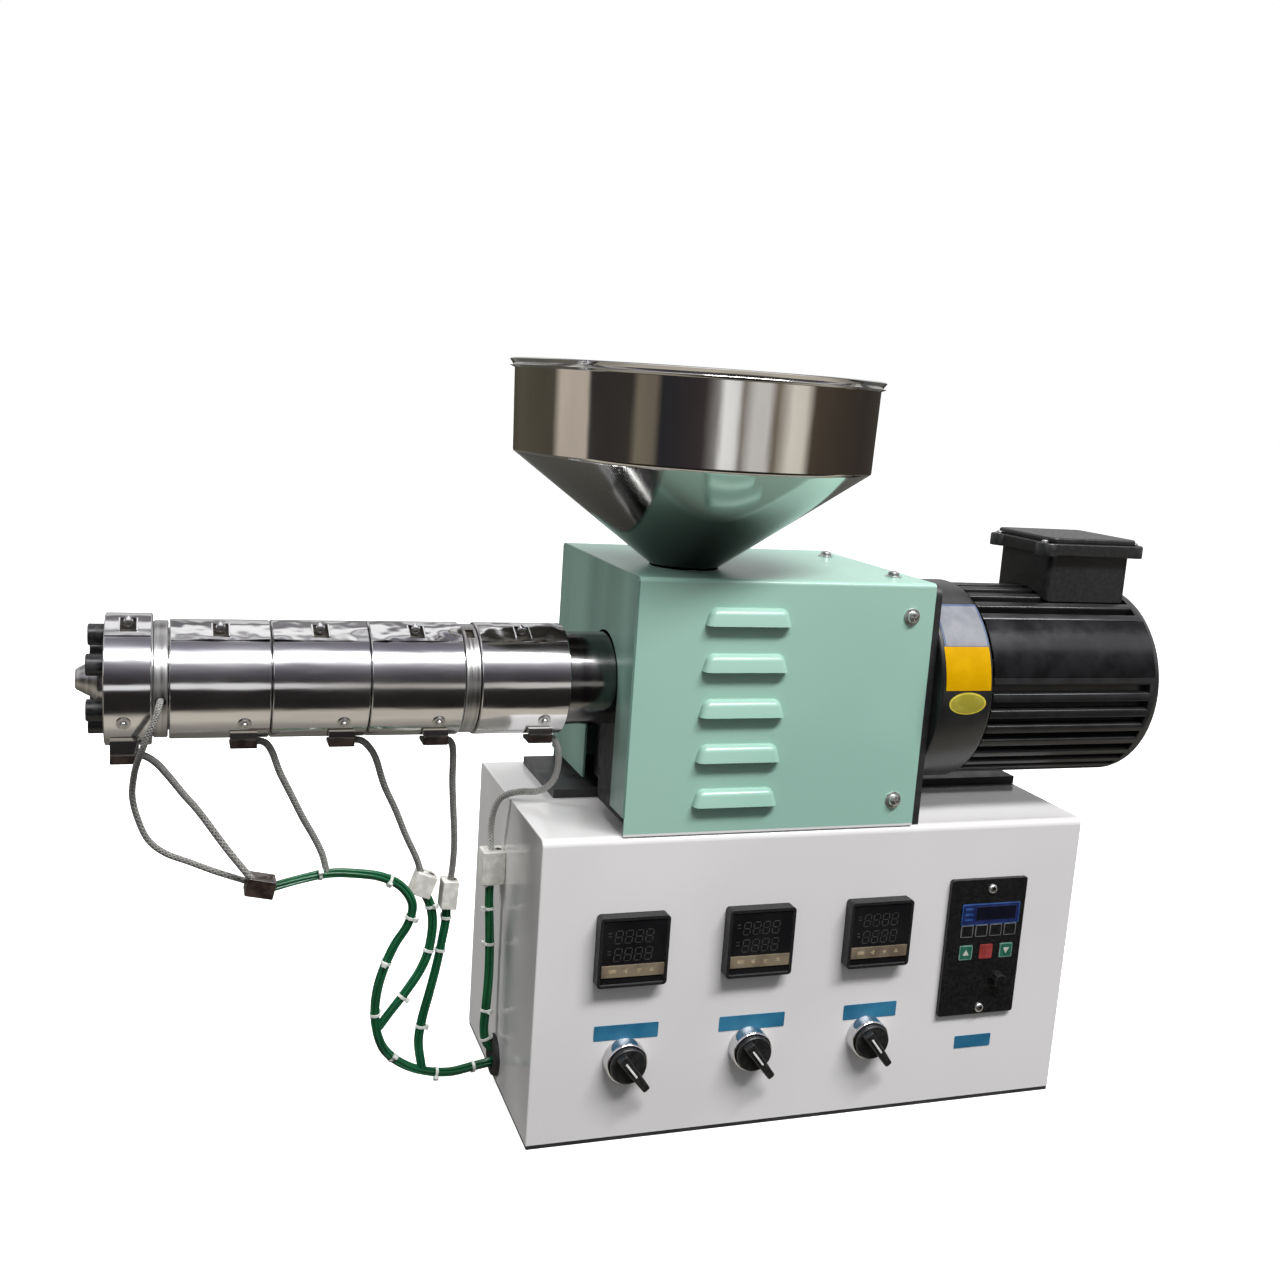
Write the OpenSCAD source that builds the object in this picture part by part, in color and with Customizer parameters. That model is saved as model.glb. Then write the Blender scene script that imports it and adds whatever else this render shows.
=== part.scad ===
// Desktop single-screw filament extruder: a sheet cabinet carries a geared motor, a feed housing and a
// bearing housing under a louvred guard, and a heated barrel that ends in a bolted die with a nozzle.
// X runs along the barrel from the nozzle to the motor, Y from the front panel to the back, Z up.
// The origin is on the floor, under the barrel's axis, at the middle of the cabinet's length.

/* [Cabinet] */
// Length of the cabinet along the barrel
cabinet_l = 404; // [390:1:440]
// Depth of the cabinet
cabinet_d = 186; // [180:1:220]
// Height of the cabinet above the floor plate's underside
cabinet_h = 213; // [205:1:240]
// Distance of the cabinet's front from the barrel's axis
cabinet_front = 61; // [60:0.5:75]
// Thickness of the cabinet's sheet
cabinet_sheet = 1.5; // [1:0.1:3]
// Outside radius of the cabinet's bent top edges
cabinet_bend_r = 5; // [4:0.5:10]
// Thickness of the floor plate under the cabinet
base_t = 3; // [2:0.5:6]
// Distance that the floor plate is set in from the cabinet's walls
base_inset = 0.5; // [0:0.1:1]

/* [Drive train] */
// Height of the barrel's axis above the cabinet's top
axis_rise = 92; // [88:1:110]
// Distance of the hopper's axis from the cabinet's middle, towards the nozzle
hopper_offset = 98; // [90:1:105]
// Length of the feed housing along the barrel
feed_l = 84; // [78:1:96]
// Width of the feed housing
feed_w = 76; // [72:1:84]
// Height of the feed housing's top above the barrel's axis
feed_top = 38; // [34:1:44]
// Radius of the feed throat
throat_r = 20; // [16:0.5:22]
// Length of the bearing housing
bearing_l = 112; // [100:1:130]
// Radius of the bearing housing's barrel
bearing_r = 42; // [38:1:46]
// Radius of the bearing housing's flanges
bearing_flange_r = 54; // [50:1:56]
// Thickness of the bearing housing's flanges
bearing_flange_t = 12; // [8:1:16]
// Thickness of the plate that the motor is bolted to
plate_t = 12; // [10:1:16]
// Thickness of the bed plate on the cabinet's top
bed_t = 6; // [4:0.5:10]
// Distance of the bed plate's front edge behind the barrel's axis
bed_front = 27; // [24:1:36]

/* [Guard] */
// Thickness of the guard's sheet
guard_sheet = 1.5; // [1:0.1:2.5]
// Height of the guard above the cabinet's top
guard_h = 169; // [164:1:190]
// Distance of the guard's front behind the cabinet's front
guard_setback = 1; // [0:0.5:2]
// Distance of the guard's back from the cabinet's back
guard_back_gap = 9; // [4:1:14]
// Room between the feed housing and the guard's end plate
guard_room = 10; // [6:1:16]
// Length by which the guard laps over the motor plate
guard_lap = 6; // [4:0.5:9]
// Outside radius of the guard's bends
guard_bend_r = 3; // [2.5:0.5:6]
// Height of the gap under the guard's back and end plates
guard_back_lift = 2.5; // [1:0.5:5]
// Height of the end plate's bottom edge above the cabinet's top
end_lift = 13; // [8:1:18]
// Number of louvres in a column
louvre_n = 5; // [3:1:6]
// Length of a louvre
louvre_l = 59; // [50:1:70]
// Height of a louvre
louvre_h = 11.5; // [8:0.5:14]
// Depth that a louvre stands proud
louvre_d = 6.5; // [5:0.5:9]
// Distance between louvres
louvre_pitch = 30; // [28:0.5:32]
// Distance of the louvres from the guard's middle, towards the nozzle
louvre_shift = 29.5; // [24:0.5:34]

/* [Barrel and heaters] */
// Length of the barrel outside the feed housing, without its flange
barrel_l = 286; // [282:1:320]
// Outside radius of the barrel
barrel_r = 31; // [29:0.5:33]
// Radius of the barrel's bore
bore_r = 12.7; // [10:0.1:15]
// Thickness of the barrel's end flange
flange_t = 8.4; // [6:0.2:12]
// Radius of the barrel's end flange
flange_r = 35.5; // [34:0.5:38]
// Length of a band heater
band_l = 58; // [54:0.5:60]
// Thickness of a band heater's wall
band_t = 5.2; // [4:0.2:7]
// Gap between band heaters
band_gap = 0.6; // [0.4:0.1:1.5]
// Length of the bare clamp strap before the last band heater
strap_l = 9.2; // [7:0.2:12]
// Angle of the heaters' clamp screws in front of the top
clamp_angle = 27; // [20:1:36]
// Side of the cut-out for a heater's clamp screw
clamp_s = 9; // [7:0.5:10]
// Width of the flat clamp strip along a heater
clamp_strip_w = 13; // [12:0.5:16]
// Length of a terminal block
block_l = 16; // [14:0.5:18]
// Width of a terminal block
block_w = 16; // [14:0.5:18]
// Height of a terminal block
block_h = 6; // [5.5:0.5:9]
// Distance of a terminal block's middle in front of the barrel's axis
block_front = 14; // [12:0.5:16]
// Radius of the screw's core
screw_core_r = 8.5; // [7:0.25:9]
// Distance between the turns of the screw's flight
screw_pitch = 25; // [22:1:30]
// Width of the screw's flight along its axis
flight_w = 3; // [2:0.25:4]
// Running gap between the screw and its bore
screw_gap = 0.4; // [0.35:0.05:0.6]

/* [Die] */
// Length of the die
die_l = 27.4; // [24:0.2:34]
// Radius of the die
die_r = 35; // [33:0.5:37]
// Thickness of the die heater's wall
die_band_t = 4.6; // [4:0.2:6]
// Radius of the circle of die bolts
die_bolt_circle = 27; // [26:0.5:28]
// Radius of a die bolt's head
die_bolt_r = 6.5; // [5.5:0.25:7]
// Height of a die bolt's head
die_bolt_h = 9.5; // [8:0.5:11]
// Length of the nozzle's cone
nozzle_l = 16.4; // [12:0.2:20]
// Radius of the nozzle at the die
nozzle_base_r = 13; // [11:0.5:15]
// Radius of the nozzle's tip
nozzle_tip_r = 6; // [4.5:0.5:8]
// Radius of the nozzle's outlet
outlet_r = 1.5; // [0.8:0.1:2.5]

/* [Hopper] */
// Outside radius of the hopper's wall at the top
hopper_r = 120; // [110:1:122]
// Outside radius of the hopper's wall where the cone starts
hopper_low_r = 118.5; // [108:0.5:121]
// Radius of the rolled rim's section
rim_r = 2.6; // [1.5:0.1:3]
// Height of the hopper's straight wall
hopper_wall_h = 56.4; // [45:0.2:70]
// Height of the hopper's cone
hopper_cone_h = 70.5; // [60:0.5:85]
// Outside radius of the hopper's neck
neck_r = 22; // [21.5:0.5:26]
// Thickness of the hopper's sheet
hopper_sheet = 1.2; // [1:0.1:2]

/* [Motor] */
// Length of the gearbox
gearbox_l = 41; // [36:1:50]
// Radius of the gearbox
gearbox_r = 71.5; // [70:0.5:76]
// Length of the finned stator
stator_l = 130; // [120:1:144]
// Radius over the stator's fins
stator_r = 69.5; // [66:0.5:70]
// Depth of the stator's fins
fin_depth = 6; // [4:0.5:9]
// Width of a fin at its crest
fin_w = 6.4; // [5:0.2:8]
// Number of fins round the stator
fin_n = 36; // [30:2:40]
// Length of the fan cowl at the motor's end
cowl_l = 14; // [10:1:20]
// Length of the terminal box
tbox_l = 69; // [60:1:74]
// Width of the terminal box
tbox_w = 63; // [56:1:70]
// Height of the terminal box over the stator
tbox_h = 26; // [22:1:34]
// Distance of the terminal box's middle from the stator's end
tbox_back = 36; // [34:1:44]
// Height of the terminal box's lid
lid_h = 13; // [10:1:18]
// Height of the step round the lid's top
lid_step = 4; // [2:0.5:6]
// Length of the lid
lid_l = 88; // [82:1:94]
// Width of the lid
lid_w = 76; // [70:1:84]

/* [Controls] */
// Side of a temperature controller's bezel
controller_s = 48; // [46:1:52]
// Distance that a controller stands proud of the panel
controller_proud = 9; // [7:0.5:12]
// Depth of a controller behind the panel
controller_depth = 70; // [60:1:90]
// Distance of the first controller from the cabinet's left end
controller_x = 63; // [58:1:70]
// Height of the controllers' middle above the floor
controller_z = 138; // [132:1:145]
// Distance of each selector to the right of its controller
selector_offset = 1; // [-4:0.5:4]
// Height of the selectors' middle above the floor
selector_z = 59; // [55:1:66]
// Radius of a selector's bezel ring
bezel_r = 14.75; // [14:0.25:17]
// Radius of a selector's turning knob
knob_r = 12.5; // [11:0.25:13]
// Running gap between a selector's knob and its bezel
knob_gap = 0.4; // [0.3:0.05:0.6]
// Reach of a selector's lever from its axis
lever_reach = 20.5; // [18:0.5:24]
// Width of a selector's lever
lever_w = 8.5; // [7:0.25:10]
// Height of a selector's lever over the knob
lever_h = 9; // [7:0.5:12]
// Angle of the levers below the horizontal
lever_angle = 52; // [40:1:60]
// Width of the speed panel
speed_w = 62; // [58:1:68]
// Height of the speed panel
speed_h = 103; // [96:1:110]
// Distance that the speed panel stands proud
speed_proud = 3.5; // [3:0.5:6]
// Distance of the speed panel's middle from the cabinet's right end
speed_x = 73.5; // [66:0.5:78]
// Height of the speed panel's middle above the floor
speed_z = 120.5; // [116:0.5:126]
// Gap between the last controller and the speed panel
speed_gap = 32.5; // [28:0.5:36]

/* [Wiring] */
// Diameter of the sleeved heater leads
lead_d = 4.5; // [4:0.1:6]
// Diameter of the temperature sensor's lead
sensor_d = 4; // [3:0.1:5]
// Diameter of the wire looms
loom_d = 6.5; // [5.5:0.1:8]
// Radius of the grommet in the cabinet's side
grommet_r = 15; // [14:0.5:18]
// Thickness of the grommet's lip
grommet_t = 4; // [3:0.5:6]

/* [Hidden] */
$fn = 64;
fit_gap = 0.1;
seat_gap = 0.2;
cut = 1;

axis_z = cabinet_h + axis_rise;
guard_top = cabinet_h + guard_h;
hopper_x = -hopper_offset;
feed_x0 = hopper_x - feed_l / 2;
feed_x1 = hopper_x + feed_l / 2;
spigot_l = 12;
plate_x0 = feed_x1 + bearing_l;
plate_x1 = plate_x0 + plate_t;
plate_r = 8;
plate_bore_r = 28;
lug_l = 18;
lug_s = 14;
guard_screw_rise = 19;
guard_screw_drop = 22.5;
guard_screw_z = [cabinet_h + guard_screw_rise, guard_top - guard_screw_drop];
guard_screw_y = [-30, 75];
foot_t = 14;
bed_run = 32;
bed_x0 = feed_x0 - bed_run;
bed_x1 = cabinet_l / 2;

cabinet_back = cabinet_d - cabinet_front;
guard_y0 = guard_setback - cabinet_front;
guard_y1 = cabinet_back - guard_back_gap;
guard_d = guard_y1 - guard_y0;
guard_x0 = feed_x0 - guard_room;
guard_x1 = plate_x0 + guard_lap;
slot_gap = 1.5;
louvre_x = (guard_x0 + guard_x1) / 2 - louvre_shift;
louvre_rise = 19.5;
louvre_z = cabinet_h + louvre_rise;
louvre_end = 6;

barrel_x0 = feed_x0 - barrel_l;
flange_x0 = barrel_x0 - flange_t;
band_r = barrel_r + seat_gap + band_t;
function band_x(i) = barrel_x0 + band_gap + i * (band_l + band_gap) + (i > 2 ? strap_l + band_gap : 0);
strap_x = band_x(2) + band_l + band_gap;
strap_in = 1.2;
clamp_floor = 1.6;
clamp_screw_r = 2;
clamp_hold = 1;
strip_rise = 0.6;
strip_inset = 0.5;
block_at = 0.74;
block_seat = 3.4;
function band_block_x(i) = band_x(i) + block_at * band_l;
sensor_hole_r = 3.2;
sensor_hole_depth = 5;
sensor_angle = 100;
flight_steps = 8;
core_sides = 8;

die_x0 = flange_x0 - die_l;
die_band_r = die_r + seat_gap + die_band_t;
die_bolt_n = 6;
die_block_in = 3.4;
die_block_x = die_x0 + die_block_in + block_l / 2;
die_block_drop = 5;
socket_r = 3.4;
socket_h = 5;

hopper_z0 = axis_z + feed_top;
cone_z0 = guard_top;
cone_z1 = cone_z0 + hopper_cone_h;
rim_z = cone_z1 + hopper_wall_h;
neck_gap = 1.5;

gearbox_x1 = plate_x1 + gearbox_l;
stator_x1 = gearbox_x1 + stator_l;
cowl_x1 = stator_x1 + cowl_l;
tbox_mid = stator_x1 - tbox_back;
tbox_top = axis_z + stator_r + tbox_h;

panel_y = -cabinet_front;
speed_at = cabinet_l / 2 - speed_x;
controller_first = controller_x - cabinet_l / 2;
controller_last = speed_at - speed_w / 2 - speed_gap - controller_s / 2;
function controller_at(i) = controller_first + i * (controller_last - controller_first) / 2;
function selector_at(i) = controller_at(i) + selector_offset;
controller_lap = 1.5;
controller_body = controller_s - 2 * controller_lap;
controller_rim = 4;
controller_edge_r = 2;
controller_keys_z = 7;
key_s = 6.5;
key_h = 0.8;
window_depth = 1;
panel_gap = 0.3;
selector_barrel_r = 11;
selector_barrel_l = 24;
bezel_h = 9;
bezel_floor = 1.5;
stem_r = 5;
stem_l = 8;
knob_h = 10.5;
speed_body_in = 5;
speed_body_l = 26;
speed_edge_r = 3;
speed_column = 2.5;
lcd_w = 46;
lcd_h = 15;
lcd_z = 26;
small_key = [10, 9];
small_key_pitch = 11.8;
small_key_z = 13;
run_key_s = 11;
run_key_pitch = 16.8;
run_key_z = -2.5;

grommet_y = 34;
grommet_z = 20;
grommet_lip = 3;
connector_1_at = [-370, 0, 170];
connector_1_size = [18, 16, 12];
connector_1_turn = 12;
connector_2_at = [-261, 26, 156];
connector_2_size = [14, 14, 16];
connector_2_turn = 20;
connector_3_at = [-243, 26, 148];
connector_3_size = [11, 14, 20];
connector_3_turn = 4;
connector_4_y = 40;
connector_4_z = 161;
connector_4_size = [16, 16, 24];
cord_sides = 8;

// Routes of the free wiring, from where each leaves its heater or block
die_lead_route = [[-447, -14, 261], [-440, -14, 261], [-433, -12, 256], [-426, -9, 247], [-417, -6, 234],
    [-407, -5, 221], [-391, -4, 197], [-374, -4, 174]];
sensor_lead_route = [[-430, -31, 300], [-431, -40, 297], [-433, -43, 290], [-437, -43, 281], [-440, -39, 271],
    [-443, -31, 261], [-445, -22, 250], [-446, -13, 235], [-443, -7, 219], [-437, -3, 204], [-427, 0, 194],
    [-413, 2, 187], [-396, 3, 179], [-376, 4, 171]];
band_1_lead_route = [[-378, -14, 269], [-370, -14, 268], [-365, -11, 261], [-360, -7, 247], [-352, -3, 230],
    [-344, 1, 213], [-337, 4, 200], [-331, 5, 187], [-328, 5, 175]];
band_2_lead_route = [[-319, -14, 269], [-311, -14, 268], [-305, -10, 262], [-300, -5, 253], [-293, 3, 233],
    [-284, 9, 214], [-276, 15, 195], [-267, 21, 176], [-262, 26, 162]];
band_3_lead_route = [[-260, -14, 269], [-254, -13, 266], [-251, -8, 257], [-249, 0, 236], [-246, 7, 213],
    [-243, 14, 190], [-242, 20, 172], [-242, 26, 156]];
band_4_lead_route = [[-192, -14, 269], [-185, -13, 266], [-180, -7, 255], [-177, 3, 241], [-178, 12, 229],
    [-185, 19, 221], [-197, 25, 219], [-208, 30, 214], [-212, 35, 202], [-212, 40, 187], [-211, 40, 171]];
loom_1_route = [[-364, 0, 168], [-345, 2, 172], [-326, 5, 174], [-307, 7, 172], [-291, 9, 168],
    [-278, 11, 160], [-270, 12, 147], [-272, 14, 132], [-280, 16, 117], [-286, 18, 101], [-290, 20, 84],
    [-291, 22, 67], [-289, 23, 51], [-283, 25, 36], [-271, 27, 24], [-255, 28, 16], [-236, 30, 12],
    [-218, 33, 13], [-203, 34, 15]];
loom_2_route = [[-260, 26, 150], [-255, 26, 139], [-253, 26, 125], [-255, 26, 107], [-260, 26, 93],
    [-269, 25, 79], [-279, 24, 66], [-288, 23, 54]];
loom_3_route = [[-244, 26, 140], [-244, 26, 128], [-246, 27, 112], [-249, 27, 94], [-253, 27, 75],
    [-257, 28, 56], [-259, 28, 38], [-256, 28, 19]];
loom_4_route = [[-211, 40, 152], [-211, 39, 136], [-210, 38, 117], [-209, 38, 97], [-209, 37, 77],
    [-210, 36, 57], [-211, 35, 41], [-209, 34, 30], [-203, 34, 25]];

// Flat outline with four rounded corners, centred
module rounded_rect(w, h, r) {
    square([w - 2 * r, h], center = true);
    square([w, h - 2 * r], center = true);
    for (x = [-1, 1], y = [-1, 1])
        translate([x * (w / 2 - r), y * (h / 2 - r)]) circle(r);
}

// Flat outline that stands on its base and is rounded at its two top corners
module arched_rect(x0, x1, h, r) {
    translate([x0 + r, 0]) square([x1 - x0 - 2 * r, h]);
    translate([x0, 0]) square([x1 - x0, h - r]);
    translate([x0 + r, h - r]) circle(r);
    translate([x1 - r, h - r]) circle(r);
}

// Extrusion along X of an outline that is drawn in Y and Z
module along_x(x0, x1) {
    translate([x0, 0, 0]) rotate([90, 0, 90]) linear_extrude(x1 - x0) children();
}

// Solid of revolution about the barrel's axis, drawn as radius and distance along X
module about_axis() {
    translate([0, 0, axis_z]) rotate([0, 90, 0]) rotate_extrude() children();
}

// Cylinder on the barrel's axis
module axis_cylinder(x0, x1, r) {
    translate([x0, 0, axis_z]) rotate([0, 90, 0]) cylinder(h = x1 - x0, r = r);
}

// Piece on the front panel, drawn with Z as the distance out of the panel
module on_panel(x, z) {
    translate([x, panel_y, z]) rotate([90, 0, 0]) children();
}

module cabinet() {
    color("white") difference() {
        along_x(-cabinet_l / 2, cabinet_l / 2)
            translate([0, base_t])
                arched_rect(-cabinet_front, cabinet_back, cabinet_h - base_t, cabinet_bend_r);
        along_x(-cabinet_l / 2 + cabinet_sheet, cabinet_l / 2 - cabinet_sheet)
            translate([0, base_t - cut])
                arched_rect(-cabinet_front + cabinet_sheet, cabinet_back - cabinet_sheet,
                    cabinet_h - base_t - cabinet_sheet + cut, cabinet_bend_r - cabinet_sheet);
        for (i = [0:2]) {
            on_panel(controller_at(i), controller_z)
                cube([controller_body + 2 * panel_gap, controller_body + 2 * panel_gap, 4 * cabinet_sheet],
                    center = true);
            on_panel(selector_at(i), selector_z)
                cylinder(h = 4 * cabinet_sheet, r = selector_barrel_r + panel_gap, center = true);
        }
        on_panel(speed_at, speed_z)
            cube([speed_w - 2 * speed_body_in + 2 * panel_gap, speed_h - 4 * speed_body_in + 2 * panel_gap,
                4 * cabinet_sheet], center = true);
        grommet_hole();
    }
}

module grommet_hole() {
    translate([-cabinet_l / 2, grommet_y, grommet_z]) rotate([0, 90, 0])
        cylinder(h = 4 * cabinet_sheet, r = grommet_r - grommet_lip + panel_gap, center = true);
}

module cabinet_base() {
    color("dimgray")
        translate([-cabinet_l / 2 + base_inset, -cabinet_front + base_inset, 0])
            cube([cabinet_l - 2 * base_inset, cabinet_d - 2 * base_inset, base_t]);
}

module bed_plate() {
    color("dimgray")
        translate([bed_x0, bed_front, cabinet_h])
            cube([bed_x1 - bed_x0, guard_y1 - guard_sheet - seat_gap - bed_front, bed_t]);
}

// Plate inside the guard's open end, with lugs behind it that take the guard's screws
module motor_plate() {
    y0 = guard_y0 + guard_sheet + seat_gap;
    y1 = guard_y1 - guard_sheet - seat_gap;
    top = guard_top - guard_sheet - seat_gap;
    color("dimgray") difference() {
        union() {
            along_x(plate_x0, plate_x1) translate([0, cabinet_h])
                arched_rect(y0, y1, top - cabinet_h, plate_r);
            for (z = guard_screw_z)
                translate([plate_x0 - lug_l, y0, z - lug_s / 2]) cube([lug_l + cut, lug_s, lug_s]);
            for (y = guard_screw_y)
                translate([plate_x0 - lug_l, y - lug_s / 2, top - lug_s]) cube([lug_l + cut, lug_s, lug_s]);
        }
        axis_cylinder(plate_x0 - cut, plate_x1 + cut, plate_bore_r);
        translate([plate_x0 - cut, bed_front - seat_gap, cabinet_h - cut])
            cube([plate_t + 2 * cut, guard_d, bed_t + seat_gap + cut]);
    }
}

// Pressed hood of a louvre, open below, with its back on the sheet and slanted ends
module louvre_form(l, h, d) {
    intersection() {
        linear_extrude(h)
            polygon([[-l / 2, 0], [l / 2, 0], [l / 2 - louvre_end, d], [louvre_end - l / 2, d]]);
        translate([-l / 2, 0, 0]) rotate([90, 0, 90]) linear_extrude(l)
            polygon([[0, 0], [d, 0], [d, h * 0.5], [d * 0.78, h * 0.8], [0, h]]);
    }
}

module louvre() {
    difference() {
        louvre_form(louvre_l, louvre_h, louvre_d);
        translate([0, -guard_sheet / 2, -guard_sheet])
            louvre_form(louvre_l - 2 * guard_sheet, louvre_h, louvre_d - guard_sheet / 2);
    }
}

// Columns of louvres on the guard's front and back, or of anything else that takes their places
module louvre_places() {
    for (i = [0:louvre_n - 1]) {
        translate([louvre_x, guard_y0, louvre_z + i * louvre_pitch]) mirror([0, 1, 0]) children();
        translate([louvre_x, guard_y1, louvre_z + i * louvre_pitch]) children();
    }
}

module guard() {
    color("mediumaquamarine") {
        difference() {
            along_x(guard_x0 + guard_sheet, guard_x1) translate([0, cabinet_h]) difference() {
                arched_rect(guard_y0, guard_y1, guard_h, guard_bend_r);
                translate([0, -cut])
                    arched_rect(guard_y0 + guard_sheet, guard_y1 - guard_sheet,
                        guard_h - guard_sheet + cut, guard_bend_r - guard_sheet);
                translate([guard_y1 - 2 * guard_sheet, -cut])
                    square([4 * guard_sheet, guard_back_lift + cut]);
            }
            translate([hopper_x, 0, guard_top - 2 * guard_sheet])
                cylinder(h = 4 * guard_sheet, r = neck_r + neck_gap);
            louvre_places()
                translate([louvre_end - louvre_l / 2, -2 * guard_sheet, 0])
                    cube([louvre_l - 2 * louvre_end, 4 * guard_sheet, louvre_h - 2 * guard_sheet]);
        }
        louvre_places() louvre();
    }
}

module guard_end() {
    slot_r = barrel_r + slot_gap;
    color("mediumaquamarine")
        along_x(guard_x0, guard_x0 + guard_sheet) difference() {
            translate([0, cabinet_h]) difference() {
                arched_rect(guard_y0, guard_y1, guard_h, guard_bend_r);
                translate([guard_y0 - cut, -cut]) square([guard_d + 2 * cut, end_lift + cut]);
            }
            translate([0, axis_z]) circle(slot_r);
            translate([-slot_r, cabinet_h]) square([2 * slot_r, axis_rise]);
        }
}

module feed_housing() {
    block_z0 = cabinet_h + foot_t;
    color("dimgray") difference() {
        union() {
            translate([feed_x0, -feed_w / 2, block_z0])
                cube([feed_l, feed_w, axis_z + feed_top - block_z0]);
            translate([feed_x0, -feed_w / 2, cabinet_h])
                cube([feed_l, feed_w / 2 + bed_front - seat_gap, foot_t]);
        }
        axis_cylinder(feed_x0 - cut, feed_x1 + cut, bore_r);
        axis_cylinder(feed_x0 - cut, feed_x0 + spigot_l, barrel_r + fit_gap);
        translate([hopper_x, 0, axis_z]) cylinder(h = feed_top + cut, r = throat_r);
    }
}

module bearing_housing() {
    color("dimgray") {
        about_axis() polygon([
            [0, feed_x1], [bearing_flange_r, feed_x1], [bearing_flange_r, feed_x1 + bearing_flange_t],
            [bearing_r, feed_x1 + bearing_flange_t], [bearing_r, plate_x0 - bearing_flange_t],
            [bearing_flange_r, plate_x0 - bearing_flange_t], [bearing_flange_r, plate_x0], [0, plate_x0]]);
    }
}

// Piece at an angle in front of the top of the barrel's axis, drawn with Z as its radius
module from_axis(x, angle) {
    translate([x, 0, axis_z]) rotate([angle, 0, 0]) children();
}

// Screw with one flight, which runs in the bore and ends against the bearing housing
module screw() {
    l = feed_x1 - barrel_x0;
    turns = l / screw_pitch;
    r = bore_r - screw_gap;
    half = 180 * flight_w / screw_pitch;
    color("silver") translate([barrel_x0, 0, axis_z]) rotate([0, 90, 0])
        linear_extrude(l, twist = 360 * turns, slices = round(flight_steps * turns), $fn = core_sides) {
            circle(screw_core_r, $fn = core_sides);
            polygon([[0, 0], [r * cos(half), -r * sin(half)], [r, 0], [r * cos(half), r * sin(half)]]);
        }
}

// Barrel with its end flange, drilled for the temperature sensor
module barrel() {
    color("silver") difference() {
        about_axis() polygon([
            [bore_r, flange_x0], [flange_r, flange_x0], [flange_r, barrel_x0], [barrel_r, barrel_x0],
            [barrel_r, feed_x0 + spigot_l], [bore_r, feed_x0 + spigot_l]]);
        from_axis((flange_x0 + barrel_x0) / 2, sensor_angle)
            translate([0, 0, flange_r - sensor_hole_depth])
                cylinder(h = sensor_hole_depth + cut, r = sensor_hole_r);
    }
}

// Rolled sleeve round the barrel's axis
module sleeve(x0, l, r_in, r_out) {
    about_axis() translate([r_in, x0]) square([r_out - r_in, l]);
}

module barrel_strap() {
    color("silver") sleeve(strap_x, strap_l, barrel_r + seat_gap, band_r - strap_in);
}

function block_top(r, drop) = axis_z - r + block_seat - drop;

// Rolled heater with a flat clamp strip, a clamp screw in a cut-out, and a bracket for its terminal block
module heater(x0, l, r_in, r_out, block_x, drop) {
    depth = r_out - r_in - clamp_floor;
    difference() {
        union() {
            axis_cylinder(x0, x0 + l, r_out);
            from_axis(x0 + strip_inset, clamp_angle) translate([0, -clamp_strip_w / 2, 0])
                cube([l - 2 * strip_inset, clamp_strip_w, r_out + strip_rise]);
            translate([block_x - block_l / 2, -block_front - block_w / 2, block_top(r_out, drop)])
                cube([block_l, block_w, r_out - block_seat + drop]);
        }
        axis_cylinder(x0 - cut, x0 + l + cut, r_in);
        from_axis(x0 + l / 2, clamp_angle) translate([0, 0, r_out])
            cube([clamp_s, clamp_s, 2 * depth], center = true);
    }
    from_axis(x0 + l / 2, clamp_angle) translate([0, 0, r_out - depth / 2]) rotate([90, 0, 0])
        cylinder(h = clamp_s + 2 * clamp_hold, r = clamp_screw_r, center = true);
}

module band_heater(i) {
    color("silver") heater(band_x(i), band_l, barrel_r + seat_gap, band_r, band_block_x(i), 0);
}

// Terminal block that hangs from a heater's bracket
module terminal_block(x, r, drop) {
    difference() {
        translate([x - block_l / 2, -block_front - block_w / 2, block_top(r, drop) - block_h])
            cube([block_l, block_w, block_h]);
        axis_cylinder(x - block_l, x + block_l, r + fit_gap);
    }
}

module heater_blocks() {
    color("saddlebrown") {
        for (i = [0:3]) terminal_block(band_block_x(i), band_r, 0);
        terminal_block(die_block_x, die_band_r, die_block_drop);
    }
}

module die_head() {
    color("silver") difference() {
        axis_cylinder(die_x0, flange_x0, die_r);
        axis_cylinder(die_x0 - cut, flange_x0 + cut, bore_r);
    }
}

module die_heater() {
    x0 = die_x0 + seat_gap;
    color("silver")
        heater(x0, flange_x0 - band_gap - x0, die_r + seat_gap, die_band_r, die_block_x, die_block_drop);
}

module die_bolts() {
    color("black")
        for (i = [0:die_bolt_n - 1])
            translate([die_x0, 0, axis_z]) rotate([i * 360 / die_bolt_n, 0, 0])
                translate([0, 0, die_bolt_circle]) rotate([0, -90, 0]) difference() {
                    cylinder(h = die_bolt_h, r = die_bolt_r);
                    translate([0, 0, die_bolt_h - socket_h])
                        cylinder(h = socket_h + cut, r = socket_r, $fn = 6);
                }
}

module nozzle() {
    color("silver") about_axis() polygon([
        [outlet_r, die_x0 - nozzle_l], [nozzle_tip_r, die_x0 - nozzle_l],
        [nozzle_base_r, die_x0 - nozzle_l / 4], [nozzle_base_r, die_x0], [outlet_r, die_x0]]);
}

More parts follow.
